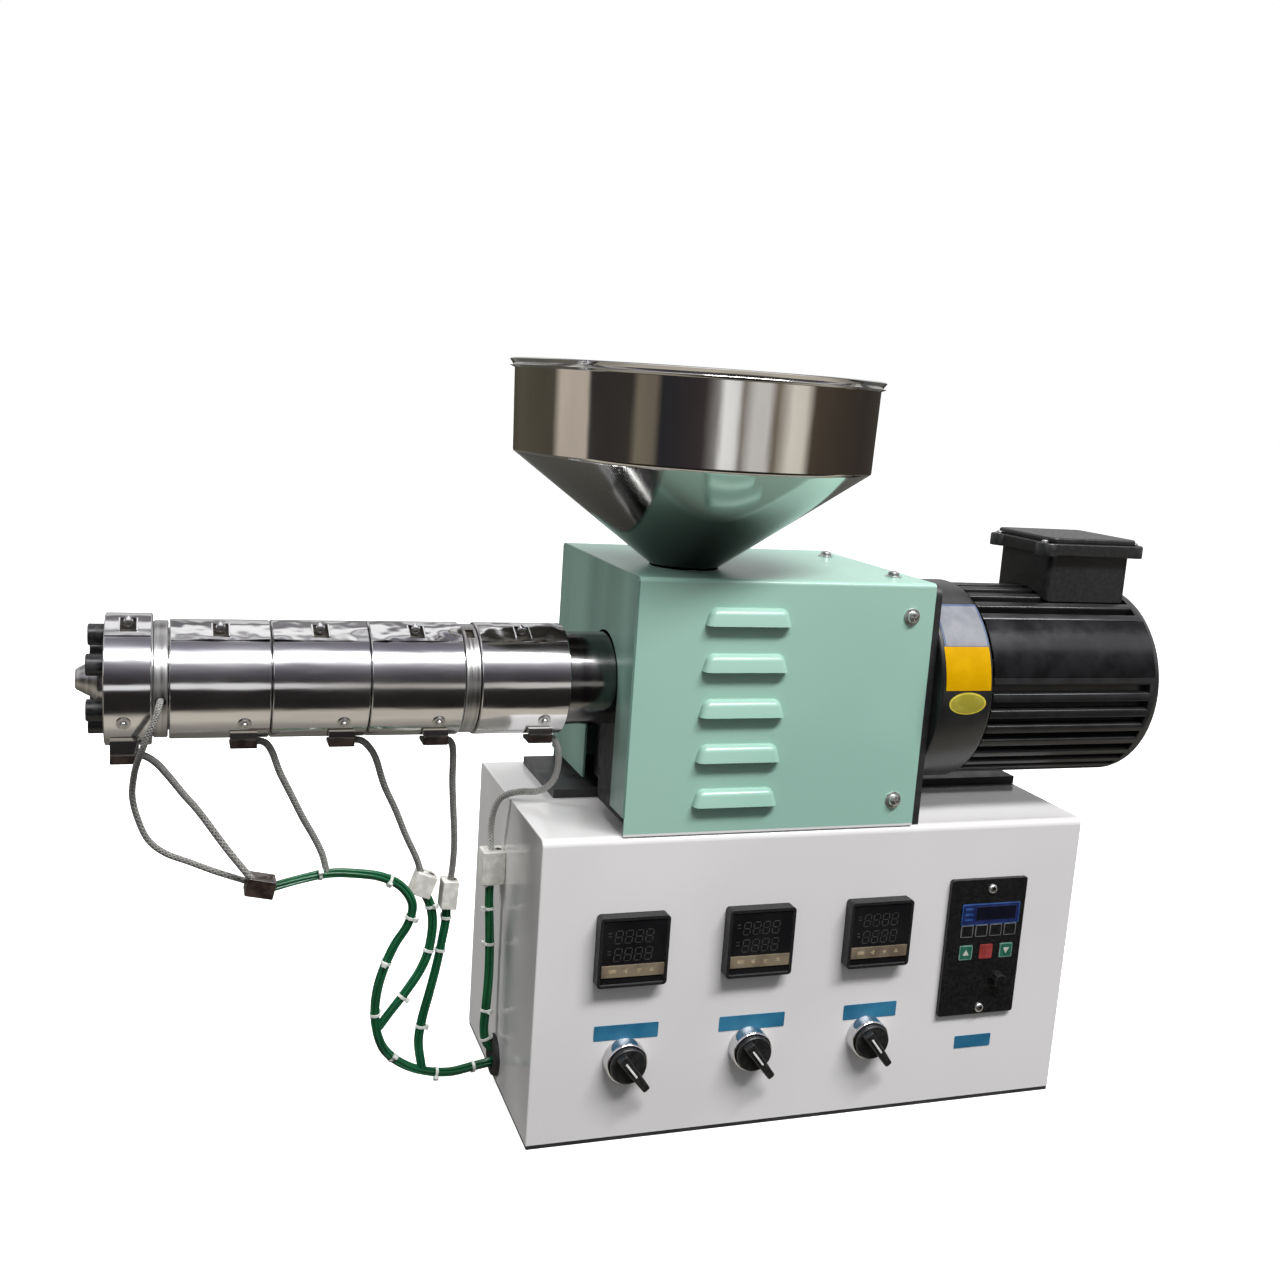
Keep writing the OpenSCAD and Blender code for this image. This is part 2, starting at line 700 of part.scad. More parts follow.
module hopper() {
    slant = atan2(hopper_low_r - neck_r, hopper_cone_h);
    inner_rise = hopper_sheet * tan(slant / 2);
    color("silver") translate([hopper_x, 0, 0]) rotate_extrude() {
        polygon([
            [neck_r - hopper_sheet, hopper_z0], [neck_r, hopper_z0], [neck_r, cone_z0],
            [hopper_low_r, cone_z1], [hopper_r, rim_z], [hopper_r - hopper_sheet, rim_z],
            [hopper_low_r - hopper_sheet, cone_z1 + inner_rise],
            [neck_r - hopper_sheet, cone_z0 + inner_rise]]);
        translate([hopper_r + rim_r - hopper_sheet, rim_z]) circle(rim_r);
    }
}

module gearbox() {
    edge = 3;
    color("black") about_axis() polygon([
        [0, plate_x1], [gearbox_r, plate_x1], [gearbox_r, gearbox_x1 - edge],
        [gearbox_r - edge, gearbox_x1], [0, gearbox_x1]]);
}

module stator() {
    color("black") along_x(gearbox_x1, stator_x1) translate([0, axis_z]) {
        circle(stator_r - fin_depth);
        for (i = [0:fin_n - 1])
            rotate(i * 360 / fin_n)
                translate([stator_r - 2 * fin_depth, -fin_w / 2]) square([2 * fin_depth, fin_w]);
    }
}

module fan_cowl() {
    round_r = cowl_l - 2;
    color("black") about_axis() {
        translate([0, stator_x1]) square([stator_r, cowl_l - round_r]);
        translate([0, stator_x1]) square([stator_r - round_r, cowl_l]);
        translate([stator_r - round_r, cowl_x1 - round_r]) intersection() {
            circle(round_r);
            square(round_r);
        }
    }
}

module terminal_box() {
    color("black") difference() {
        translate([tbox_mid, 0, axis_z]) linear_extrude(tbox_top - axis_z)
            rounded_rect(tbox_l, tbox_w, 5);
        axis_cylinder(gearbox_x1, cowl_x1, stator_r + seat_gap);
    }
}

module terminal_lid() {
    lug_r = 9;
    edge_r = 6;
    inset = 2.5;
    color("black") translate([tbox_mid, 0, tbox_top]) {
        linear_extrude(lid_h - lid_step) {
            rounded_rect(lid_l - lug_r, lid_w, edge_r);
            for (x = [-1, 1], y = [-1, 1])
                translate([x * (lid_l / 2 - lug_r), y * (lid_w / 2 - lug_r)]) circle(lug_r);
        }
        linear_extrude(lid_h) rounded_rect(lid_l - lug_r - 2 * inset, lid_w - 2 * inset, edge_r);
    }
}

module controller(i) {
    window_w = controller_s - 2 * controller_rim;
    window_z0 = controller_keys_z + key_s + controller_rim / 2 - controller_s / 2;
    color("black") on_panel(controller_at(i), controller_z) {
        difference() {
            linear_extrude(controller_proud) rounded_rect(controller_s, controller_s, controller_edge_r);
            translate([-window_w / 2, window_z0, controller_proud - window_depth])
                cube([window_w, controller_s / 2 - controller_rim - window_z0, window_depth + cut]);
        }
        for (k = [0:3])
            translate([(k - 1.5) * window_w / 4 - key_s / 2, controller_keys_z - controller_s / 2,
                controller_proud]) cube([key_s, key_s, key_h]);
        translate([-controller_body / 2, -controller_body / 2, -controller_depth])
            cube([controller_body, controller_body, controller_depth]);
    }
}

module selector_bezel(i) {
    color("silver") on_panel(selector_at(i), selector_z) rotate_extrude() polygon([
        [0, -selector_barrel_l], [selector_barrel_r, -selector_barrel_l], [selector_barrel_r, 0],
        [bezel_r, 0], [bezel_r, bezel_h - 1], [bezel_r - 0.8, bezel_h],
        [knob_r + knob_gap, bezel_h], [knob_r + knob_gap, bezel_floor], [stem_r + knob_gap, bezel_floor],
        [stem_r + knob_gap, -stem_l - knob_gap], [0, -stem_l - knob_gap]]);
}

module selector_knob(i) {
    knob_z = bezel_floor + knob_gap;
    color("black") on_panel(selector_at(i), selector_z) {
        translate([0, 0, -stem_l]) cylinder(h = stem_l + knob_z + cut, r = stem_r);
        translate([0, 0, knob_z]) cylinder(h = knob_h, r = knob_r);
        translate([0, 0, knob_z + knob_h]) rotate(-lever_angle) linear_extrude(lever_h)
            polygon([[2 - knob_r, -lever_w / 2], [lever_reach - 3, -lever_w / 2 + 1], [lever_reach, 0 - 1],
                [lever_reach, 1], [lever_reach - 3, lever_w / 2 - 1], [2 - knob_r, lever_w / 2]]);
    }
}

module speed_panel() {
    color("black") on_panel(speed_at, speed_z) {
        difference() {
            linear_extrude(speed_proud) rounded_rect(speed_w, speed_h, speed_edge_r);
            translate([speed_column - lcd_w / 2, lcd_z - lcd_h / 2, speed_proud - window_depth])
                cube([lcd_w, lcd_h, window_depth + cut]);
        }
        for (k = [-1.5:1.5])
            translate([speed_column + k * small_key_pitch - small_key[0] / 2, small_key_z - small_key[1] / 2,
                speed_proud]) cube([small_key[0], small_key[1], key_h]);
        for (k = [-1:1])
            translate([speed_column + k * run_key_pitch - run_key_s / 2, run_key_z - run_key_s / 2,
                speed_proud]) cube([run_key_s, run_key_s, key_h]);
        translate([speed_body_in - speed_w / 2, 2 * speed_body_in - speed_h / 2, -speed_body_l])
            cube([speed_w - 2 * speed_body_in, speed_h - 4 * speed_body_in, speed_body_l]);
    }
}

module grommet() {
    color("black") translate([-cabinet_l / 2, grommet_y, grommet_z]) rotate([0, -90, 0]) {
        cylinder(h = grommet_t, r = grommet_r);
        translate([0, 0, -2 * cabinet_sheet])
            cylinder(h = 2 * cabinet_sheet + cut, r = grommet_r - grommet_lip);
    }
}

// Ceramic connector block, centred, turned about Y
module connector_block(at, size, turn) {
    translate(at) rotate([0, turn, 0]) cube(size, center = true);
}

module connector_1() {
    color("saddlebrown") connector_block(connector_1_at, connector_1_size, connector_1_turn);
}

module connector_2() {
    color("white") connector_block(connector_2_at, connector_2_size, connector_2_turn);
}

module connector_3() {
    color("white") connector_block(connector_3_at, connector_3_size, connector_3_turn);
}

// Terminal block screwed to the cabinet's left side
module connector_4() {
    x = -cabinet_l / 2 - connector_4_size[0] / 2;
    color("white") connector_block([x, connector_4_y, connector_4_z], connector_4_size, 0);
}

function unit(v) = v / norm(v);
function heading(p, i) = unit(p[min(i + 1, len(p) - 1)] - p[max(i - 1, 0)]);
function side_of(t) = unit(cross(t, [0, 1, 0]));

// Round cord swept along a route, one ring of points at each of the route's own points
module cord(route, d) {
    n = len(route);
    rings = [for (i = [0:n - 1])
        let (t = heading(route, i), a = side_of(t), b = cross(t, a))
            for (k = [0:cord_sides - 1])
                let (turn = 360 * k / cord_sides)
                    route[i] + d / 2 * (cos(turn) * a + sin(turn) * b)];
    walls = [for (i = [0:n - 2], k = [0:cord_sides - 1])
        let (next = (k + 1) % cord_sides, here = i * cord_sides, there = here + cord_sides)
            each [[here + k, there + k, there + next], [here + k, there + next, here + next]]];
    near_end = [for (k = [0:cord_sides - 1]) k];
    far_end = [for (k = [0:cord_sides - 1]) n * cord_sides - 1 - k];
    polyhedron(rings, concat(walls, [near_end, far_end]));
}

module die_lead() { color("lightgray") cord(die_lead_route, lead_d); }
module sensor_lead() { color("lightgray") cord(sensor_lead_route, sensor_d); }
module band_1_lead() { color("lightgray") cord(band_1_lead_route, lead_d); }
module band_2_lead() { color("lightgray") cord(band_2_lead_route, lead_d); }
module band_3_lead() { color("lightgray") cord(band_3_lead_route, lead_d); }
module band_4_lead() { color("lightgray") cord(band_4_lead_route, lead_d); }
module loom_1() { color("seagreen") cord(loom_1_route, loom_d); }
module loom_2() { color("seagreen") cord(loom_2_route, loom_d); }
module loom_3() { color("seagreen") cord(loom_3_route, loom_d); }
module loom_4() { color("seagreen") cord(loom_4_route, loom_d); }

cabinet();
cabinet_base();
bed_plate();
motor_plate();
guard();
guard_end();
feed_housing();
bearing_housing();
screw();
barrel();
barrel_strap();
band_heater(0);  // band_heater_1
band_heater(1);  // band_heater_2
band_heater(2);  // band_heater_3
band_heater(3);  // band_heater_4
heater_blocks();
die_head();
die_heater();
die_bolts();
nozzle();
hopper();
gearbox();
stator();
fan_cowl();
terminal_box();
terminal_lid();
controller(0);  // controller_1
controller(1);  // controller_2
controller(2);  // controller_3
selector_bezel(0);  // selector_bezel_1
selector_bezel(1);  // selector_bezel_2
selector_bezel(2);  // selector_bezel_3
selector_knob(0);  // selector_knob_1
selector_knob(1);  // selector_knob_2
selector_knob(2);  // selector_knob_3
speed_panel();
grommet();
connector_1();
connector_2();
connector_3();
connector_4();
die_lead();
sensor_lead();
band_1_lead();
band_2_lead();
band_3_lead();
band_4_lead();
loom_1();
loom_2();
loom_3();
loom_4();
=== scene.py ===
from math import cos, pi, radians, sin, sqrt

import bmesh
import bpy
from mathutils import Matrix, Vector


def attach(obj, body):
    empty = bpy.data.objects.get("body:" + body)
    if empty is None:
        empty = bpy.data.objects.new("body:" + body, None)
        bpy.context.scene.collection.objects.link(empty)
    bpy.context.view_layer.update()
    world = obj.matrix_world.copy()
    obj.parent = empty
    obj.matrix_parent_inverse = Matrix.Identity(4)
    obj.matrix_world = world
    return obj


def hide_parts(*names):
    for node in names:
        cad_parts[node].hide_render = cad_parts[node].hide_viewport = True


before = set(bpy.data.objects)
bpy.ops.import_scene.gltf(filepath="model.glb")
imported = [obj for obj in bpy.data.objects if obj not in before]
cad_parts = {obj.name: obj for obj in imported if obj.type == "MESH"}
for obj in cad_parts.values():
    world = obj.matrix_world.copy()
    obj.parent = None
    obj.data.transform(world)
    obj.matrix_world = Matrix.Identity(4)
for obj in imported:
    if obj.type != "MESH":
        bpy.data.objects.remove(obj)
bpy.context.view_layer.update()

# The camera stands in front of the barrel, a little above its axis, and looks along the machine towards the
# motor. Its place and lens are the ones at which the cabinet, guard and controllers fall as photographed.
view = bpy.data.cameras.new("view")
view.sensor_width, view.lens, view.clip_start = 36.0, 38.42, 0.02
camera = bpy.data.objects.new("view", view)
bpy.context.scene.collection.objects.link(camera)
camera.matrix_world = Matrix((
    (0.94597, -0.00663, -0.32419, -0.4241),
    (-0.31706, 0.19057, -0.92906, -0.8559),
    (0.06794, 0.98165, 0.17817, 0.4950),
    (0.0, 0.0, 0.0, 1.0)))
bpy.context.scene.camera = camera

# The sleeved leads run from the heaters' terminal blocks and the sensor hole down to connector blocks, and the
# green looms go on from there into the cabinet. The leads are wire in woven glass sleeving, which hangs slack.
# Their routes are in millimetres.
lead_routes = {
    "die_lead": [(-447, -14, 261), (-440, -14, 261), (-433, -12, 256), (-426, -9, 247), (-417, -6, 234),
                 (-407, -5, 221), (-391, -4, 197), (-374, -4, 174)],
    "sensor_lead": [(-430, -31, 300), (-431, -40, 297), (-433, -43, 290), (-437, -43, 281), (-440, -39, 271),
                    (-443, -31, 261), (-445, -22, 250), (-446, -13, 235), (-443, -7, 219), (-437, -3, 204),
                    (-427, 0, 194), (-413, 2, 187), (-396, 3, 179), (-376, 4, 171)],
    "band_1_lead": [(-378, -14, 269), (-370, -14, 268), (-365, -11, 261), (-360, -7, 247), (-352, -3, 230),
                    (-344, 1, 213), (-337, 4, 200), (-331, 5, 187), (-328, 5, 175)],
    "band_2_lead": [(-319, -14, 269), (-311, -14, 268), (-305, -10, 262), (-300, -5, 253), (-293, 3, 233),
                    (-284, 9, 214), (-276, 15, 195), (-267, 21, 176), (-262, 26, 162)],
    "band_3_lead": [(-260, -14, 269), (-254, -13, 266), (-251, -8, 257), (-249, 0, 236), (-246, 7, 213),
                    (-243, 14, 190), (-242, 20, 172), (-242, 26, 156)],
    "band_4_lead": [(-192, -14, 269), (-185, -13, 266), (-180, -7, 255), (-177, 3, 241), (-178, 12, 229),
                    (-185, 19, 221), (-197, 25, 219), (-208, 30, 214), (-212, 35, 202), (-212, 40, 187),
                    (-211, 40, 171)],
}


def eased(points, steps=6):
    """The smooth line, in metres, through a route's points, which starts and ends on the route's own ends."""
    points = [Vector([c / 1000 for c in p]) for p in points]
    around = [points[0]] + points + [points[-1]]
    line = []
    for a, b, c, d in zip(around, around[1:], around[2:], around[3:]):
        for k in range(steps):
            t = k / steps
            line.append(0.5 * (2 * b + (c - a) * t + (2 * a - 5 * b + 4 * c - d) * t ** 2
                               + (3 * b - a - 3 * c + d) * t ** 3))
    return line + [points[-1]]


def strung(name, line, diameter):
    """A round cord along a line, as a curve of one open spline."""
    wire = bpy.data.curves.new(name, "CURVE")
    wire.dimensions, wire.bevel_depth, wire.bevel_resolution = "3D", diameter / 2, 4
    wire.use_fill_caps = True
    spline = wire.splines.new("POLY")
    spline.points.add(len(line) - 1)
    for point, place in zip(spline.points, line):
        point.co = (*place, 1)
    cord = bpy.data.objects.new(name, wire)
    bpy.context.collection.objects.link(cord)
    return cord


def node(tree, kind, operation=None, **sockets):
    """A new shader node, with its operation and its constant sockets set."""
    made = tree.nodes.new("ShaderNode" + kind)
    if operation:
        made.operation = operation
    for socket, value in sockets.items():
        made.inputs[socket.replace("_", " ")].default_value = value
    return made


def finish(name, dark, light, grain, rough, stretch=(1, 1, 1), bump=0.0, detail=4.0, **sockets):
    """A surface whose colour, gloss and relief vary with one grain: grains a metre, relief in millimetres."""
    made = bpy.data.materials.new(name)
    made.use_nodes = True
    tree, link, low, high = made.node_tree, made.node_tree.links.new, 0.35, 0.65
    shader, place = tree.nodes["Principled BSDF"], node(tree, "TexCoord")
    turn, noise = node(tree, "Mapping", Scale=stretch), node(tree, "TexNoise", Scale=grain, Detail=detail)
    ramp = node(tree, "ValToRGB")
    gloss = node(tree, "MapRange", From_Min=low, From_Max=high, To_Min=rough[0], To_Max=rough[1])
    ramp.color_ramp.interpolation, gloss.interpolation_type = "EASE", "SMOOTHSTEP"
    for k, (share, colour) in enumerate(((low, dark), (high, light))):
        ramp.color_ramp.elements[k].position = share
        ramp.color_ramp.elements[k].color = (*colour, 1)
    link(place.outputs["Object"], turn.inputs["Vector"])
    link(turn.outputs["Vector"], noise.inputs["Vector"])
    link(noise.outputs["Fac"], ramp.inputs["Fac"])
    link(noise.outputs["Fac"], gloss.inputs["Value"])
    link(ramp.outputs["Color"], shader.inputs["Base Color"])
    link(gloss.outputs["Result"], shader.inputs["Roughness"])
    if bump:
        relief = node(tree, "Bump", Distance=bump / 1000)
        link(noise.outputs["Fac"], relief.inputs["Height"])
        link(relief.outputs["Normal"], shader.inputs["Normal"])
    for socket, value in sockets.items():
        shader.inputs[socket.replace("_", " ")].default_value = value
    return made


def shaded_by(material, share):
    """Multiplies a finish's colour by a share that another node gives."""
    tree, link = material.node_tree, material.node_tree.links.new
    shade = node(tree, "Mix")
    shade.data_type, shade.blend_type = "RGBA", "MULTIPLY"
    shade.inputs["Factor"].default_value = 1
    link(tree.nodes["Color Ramp"].outputs["Color"], shade.inputs["A"])
    link(share, shade.inputs["B"])
    link(shade.outputs["Result"], tree.nodes["Principled BSDF"].inputs["Base Color"])
    return material


def fit(piece, slot, material, *nodes, body="root"):
    """Gives a piece its finish, and sets it on its body in the place of the nodes it stands for; the slot is not
    used.
    """
    if material:
        piece.data.materials.clear()
        piece.data.materials.append(material)
    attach(piece, body)
    if nodes:
        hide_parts(*nodes)
    return piece


def woven(name, dark, light, turns=70, strands=5):
    """Braided sleeving: two sets of strands wound opposite ways, on the cord's own length and girth."""
    made = finish(name, dark, light, 900, (0.75, 0.9), Sheen_Weight=0.25)
    tree, link = made.node_tree, made.node_tree.links.new
    split, weave = node(tree, "SeparateXYZ"), node(tree, "Math", "MAXIMUM")
    link(node(tree, "TexCoord").outputs["UV"], split.inputs["Vector"])
    for k, way in enumerate((1, -1)):
        along, around = node(tree, "Math", "MULTIPLY"), node(tree, "Math", "MULTIPLY_ADD")
        wave = node(tree, "Math", "SINE")
        along.inputs[1].default_value = 2 * pi * turns
        around.inputs[1].default_value = way * 2 * pi * strands
        link(split.outputs["X"], along.inputs[0])
        link(split.outputs["Y"], around.inputs[0])
        link(along.outputs[0], around.inputs[2])
        link(around.outputs[0], wave.inputs[0])
        link(wave.outputs[0], weave.inputs[k])
    tone, relief = node(tree, "MapRange", From_Min=-0.6, To_Min=0.45), node(tree, "Bump", Distance=0.0003)
    link(weave.outputs[0], tone.inputs["Value"])
    link(weave.outputs[0], relief.inputs["Height"])
    link(relief.outputs["Normal"], tree.nodes["Principled BSDF"].inputs["Normal"])
    return shaded_by(made, tone.outputs["Result"])


sleeve_glass = woven("sleeve_glass", (0.22, 0.215, 0.20), (0.43, 0.42, 0.40))
sleeve_pale = woven("sleeve_pale", (0.50, 0.50, 0.48), (0.74, 0.74, 0.71))
lead_lines = {name: eased(route) for name, route in lead_routes.items()}
lead_d = {name: 0.004 if name == "sensor_lead" else 0.0045 for name in lead_routes}
leads = {}
for name, line in lead_lines.items():
    weave = sleeve_pale if name == "band_4_lead" else sleeve_glass
    leads[name] = fit(strung(name + "_sleeve", line, lead_d[name]), "lead_sleeve", weave, name)

# The looms are bundles of six green wires round a seventh, laid up with a slow twist and held by pale nylon
# ties every few centimetres. Three of them join into one and go through the grommet with the fourth.
loom_routes = {
    "loom_1": [(-364, 0, 168), (-345, 2, 172), (-326, 5, 174), (-307, 7, 172), (-291, 9, 168), (-278, 11, 160),
               (-270, 12, 147), (-272, 14, 132), (-280, 16, 117), (-286, 18, 101), (-290, 20, 84),
               (-291, 22, 67), (-289, 23, 51), (-283, 25, 36), (-271, 27, 24), (-255, 28, 16), (-236, 30, 12),
               (-218, 33, 13), (-203, 34, 15)],
    "loom_2": [(-260, 26, 150), (-255, 26, 139), (-253, 26, 125), (-255, 26, 107), (-260, 26, 93),
               (-269, 25, 79), (-279, 24, 66), (-288, 23, 54)],
    "loom_3": [(-244, 26, 140), (-244, 26, 128), (-246, 27, 112), (-249, 27, 94), (-253, 27, 75),
               (-257, 28, 56), (-259, 28, 38), (-256, 28, 19)],
    "loom_4": [(-211, 40, 152), (-211, 39, 136), (-210, 38, 117), (-209, 38, 97), (-209, 37, 77),
               (-210, 36, 57), (-211, 35, 41), (-209, 34, 30), (-203, 34, 25)],
}
loom_d = 0.0065
tie_places = {"loom_1": (0.10, 0.25, 0.38, 0.50, 0.63, 0.76, 0.87, 0.96), "loom_2": (0.16, 0.45, 0.80),
              "loom_3": (0.14, 0.36, 0.80), "loom_4": (0.05, 0.18, 0.36, 0.66, 0.86)}


def fresh():
    """Leaves edit mode and deselects everything, so that the next operator acts on one piece alone."""
    if bpy.context.object and bpy.context.object.mode != "OBJECT":
        bpy.ops.object.mode_set(mode="OBJECT")
    bpy.ops.object.select_all(action="DESELECT")


def alone(piece):
    fresh()
    piece.select_set(True)
    bpy.context.view_layer.objects.active = piece


def smooth(piece, angle=35):
    """Shades a piece smooth, apart from edges sharper than the angle."""
    alone(piece)
    bpy.ops.object.shade_smooth_by_angle(angle=radians(angle))
    return piece


def bundle(name, line, diameter, twist=0.025):
    """Six wires round a middle one, swept along a line with a slow twist and made a mesh."""
    wire_r = diameter / 6
    section = bpy.data.curves.new("section", "CURVE")
    outline = section.splines.new("POLY")
    outline.use_cyclic_u = True
    outline.points.add(35)
    for k, point in enumerate(outline.points):
        turn, off = 2 * pi * k / 36, (k % 6 - 3) * pi / 18
        reach = 2 * wire_r * cos(off) + sqrt(wire_r ** 2 - (2 * wire_r * sin(off)) ** 2)
        point.co = (reach * cos(turn), reach * sin(turn), 0, 1)
    outline_piece = bpy.data.objects.new("section", section)
    bpy.context.collection.objects.link(outline_piece)
    cord = strung(name, line, diameter)
    cord.data.bevel_mode, cord.data.bevel_object = "OBJECT", outline_piece
    for k, point in enumerate(cord.data.splines[0].points):
        point.tilt = twist * k
    alone(cord)
    bpy.ops.object.convert(target="MESH")
    bpy.data.objects.remove(outline_piece)
    return smooth(cord, 50)


def shift(x, y, z):
    """A move by millimetres."""
    return Matrix.Translation((x / 1000, y / 1000, z / 1000))


def spin(degrees, axis):
    return Matrix.Rotation(radians(degrees), 4, axis)


def spin_about(x, y, z, degrees, axis):
    """A turn about a point in millimetres."""
    return shift(x, y, z) @ spin(degrees, axis) @ shift(-x, -y, -z)


def copy_of(piece, name, place):
    """A copy with its own mesh, moved by a matrix."""
    twin = piece.copy()
    twin.data = piece.data.copy()
    twin.name = twin.data.name = name
    bpy.context.collection.objects.link(twin)
    twin.data.transform(place)
    return twin


def joined(name, pieces):
    fresh()
    for piece in pieces:
        piece.select_set(True)
    bpy.context.view_layer.objects.active = pieces[0]
    if len(pieces) > 1:
        bpy.ops.object.join()
    pieces[0].name = pieces[0].data.name = name
    return pieces[0]


def applied(piece, kind, **settings):
    """Finishes a piece with one modifier and applies it."""
    alone(piece)
    change = piece.modifiers.new("change", kind)
    for setting, value in settings.items():
        setattr(change, setting, value)
    bpy.ops.object.modifier_apply(modifier=change.name)
    return piece


def started(name, shape, **settings):
    """A new piece from one of the plain shapes."""
    fresh()
    shape(**settings)
    piece = bpy.context.object
    piece.name = piece.data.name = name
    return piece


def block(name, low, high):
    """A box between two corners, in millimetres."""
    piece = started(name, bpy.ops.mesh.primitive_cube_add, size=1)
    piece.location = [(a + b) / 2000 for a, b in zip(low, high)]
    piece.scale = [(b - a) / 1000 for a, b in zip(low, high)]
    bpy.ops.object.transform_apply()
    return piece


def eased_edges(piece, width, segments=2, angle=30):
    """Rounds every edge sharper than the angle, by a width in millimetres, and shades the piece."""
    applied(piece, "BEVEL", width=width / 1000, segments=segments, limit_method="ANGLE",
            angle_limit=radians(angle))
    return applied(smooth(piece), "WEIGHTED_NORMAL", keep_sharp=True)


barrel_z = 305


def turned(name, outline, axis="X", centre=(0.0, barrel_z / 1000), sides=96):
    """Turns a piece on its axis: the outline gives distances along the axis and radii, in millimetres."""
    way = "XYZ".index(axis)

    def spot(along):
        place = list(centre)
        place.insert(way, along / 1000)
        return place

    piece = started(name, bpy.ops.mesh.primitive_circle_add, vertices=sides, radius=outline[0][1] / 1000,
                    location=spot(outline[0][0]), rotation=((0, pi / 2, 0), (pi / 2, 0, 0), (0, 0, 0))[way])
    bpy.ops.object.transform_apply()
    bpy.ops.object.mode_set(mode="EDIT")
    bpy.ops.mesh.select_mode(type="EDGE")
    bpy.ops.mesh.select_all(action="SELECT")
    for (a, r), (b, s) in zip(outline, outline[1:]):
        step, grow = [0, 0, 0], [s / r] * 3
        step[way], grow[way] = (b - a) / 1000, 1
        bpy.ops.mesh.extrude_region_move(TRANSFORM_OT_translate={"value": step})
        if s != r:
            bpy.ops.transform.resize(value=grow, center_override=spot(b))
    bpy.ops.mesh.select_all(action="SELECT")
    bpy.ops.mesh.remove_doubles(threshold=0.000001)
    bpy.ops.mesh.fill_holes(sides=0)
    bpy.ops.mesh.normals_make_consistent(inside=False)
    return smooth(piece)


wire_green = finish("wire_green", (0.006, 0.085, 0.032), (0.009, 0.125, 0.048), 40, (0.2, 0.26))
tie_nylon = finish("tie_nylon", (0.62, 0.66, 0.62), (0.82, 0.84, 0.80), 300, (0.35, 0.5), bump=0.03)
tie = turned("tie", [(-1.1, 3.35), (-0.9, 3.75), (0.9, 3.75), (1.1, 3.35), (-1.1, 3.35)], "Z", (0, 0), 24)
tie_head = eased_edges(block("tie_head", (3.3, -1.8, -1.7), (5.9, 1.8, 1.7)), 0.5)
tie = joined("tie", [tie, tie_head])
for name, route in loom_routes.items():
    line = eased(route)
    fit(bundle(name + "_wires", line, loom_d), "loom_green", wire_green, name)
    ties = []
    for k, share in enumerate(tie_places[name]):
        at = int(share * (len(line) - 2))
        lean = (line[at + 1] - line[at]).to_track_quat("Z", "Y").to_matrix().to_4x4()
        turn = Matrix.Rotation(2.4 + 1.3 * k, 4, "Z")
        ties.append(copy_of(tie, "tie_copy", Matrix.Translation(line[at]) @ lean @ turn))
    ties = fit(joined(name + "_ties", ties), "ceramic_white", tie_nylon)
bpy.data.objects.remove(tie)

# Ceramic connector blocks join the leads to the looms: one glazed brown and two white ones hang on the wires, and
# a third white one is screwed to the cabinet's side. Each has a deep screw well in its side and a hole on top.
ceramic = finish("ceramic_white", (0.62, 0.61, 0.56), (0.80, 0.79, 0.74), 160, (0.30, 0.5), bump=0.04)
ceramic_brown = finish("ceramic_brown", (0.022, 0.016, 0.013), (0.06, 0.042, 0.033), 160, (0.18, 0.26), bump=0.04)
# The near-black painted into wells, sockets, slots and vents is painted shade for their hollows.
painted_recess_shade = finish("painted_recess_shade", (0.02, 0.017, 0.014), (0.06, 0.05, 0.04), 300, (0.5, 0.7))


def cut(piece, cutter):
    """Takes the cutter's shape out of a piece, then removes the cutter."""
    applied(piece, "BOOLEAN", operation="DIFFERENCE", solver="EXACT", object=cutter)
    bpy.data.objects.remove(cutter)
    return piece


def rod(a, b, r, axis="X", centre=(0.0, barrel_z / 1000), sides=96):
    """A plain rod between two distances along its axis, to cut with."""
    return turned("rod", [(a, r), (b, r)], axis, centre, sides)


def pick(piece, kind, test):
    """Selects the faces or edges whose middle, in millimetres, and normal or direction pass a test."""
    if piece.mode != "EDIT":
        alone(piece)
        bpy.ops.object.mode_set(mode="EDIT")
    bpy.ops.mesh.select_mode(type=kind)
    bpy.ops.mesh.select_all(action="DESELECT")
    mesh = bmesh.from_edit_mesh(piece.data)
    for part in (mesh.faces if kind == "FACE" else mesh.edges):
        if kind == "FACE":
            middle, way = part.calc_center_median(), part.normal
        else:
            a, b = (corner.co for corner in part.verts)
            middle, way = (a + b) / 2, (b - a).normalized()
        if test(middle * 1000, way):
            part.select_set(True)
    mesh.select_flush_mode()
    bmesh.update_edit_mesh(piece.data)


def paint(piece, material, other, test):
    """Gives a piece its finish, and the faces that pass a test another."""
    alone(piece)
    piece.data.materials.append(material)
    piece.data.materials.append(other)
    pick(piece, "FACE", test)
    piece.active_material_index = 1
    bpy.ops.object.material_slot_assign()
    bpy.ops.object.mode_set(mode="OBJECT")
    return piece


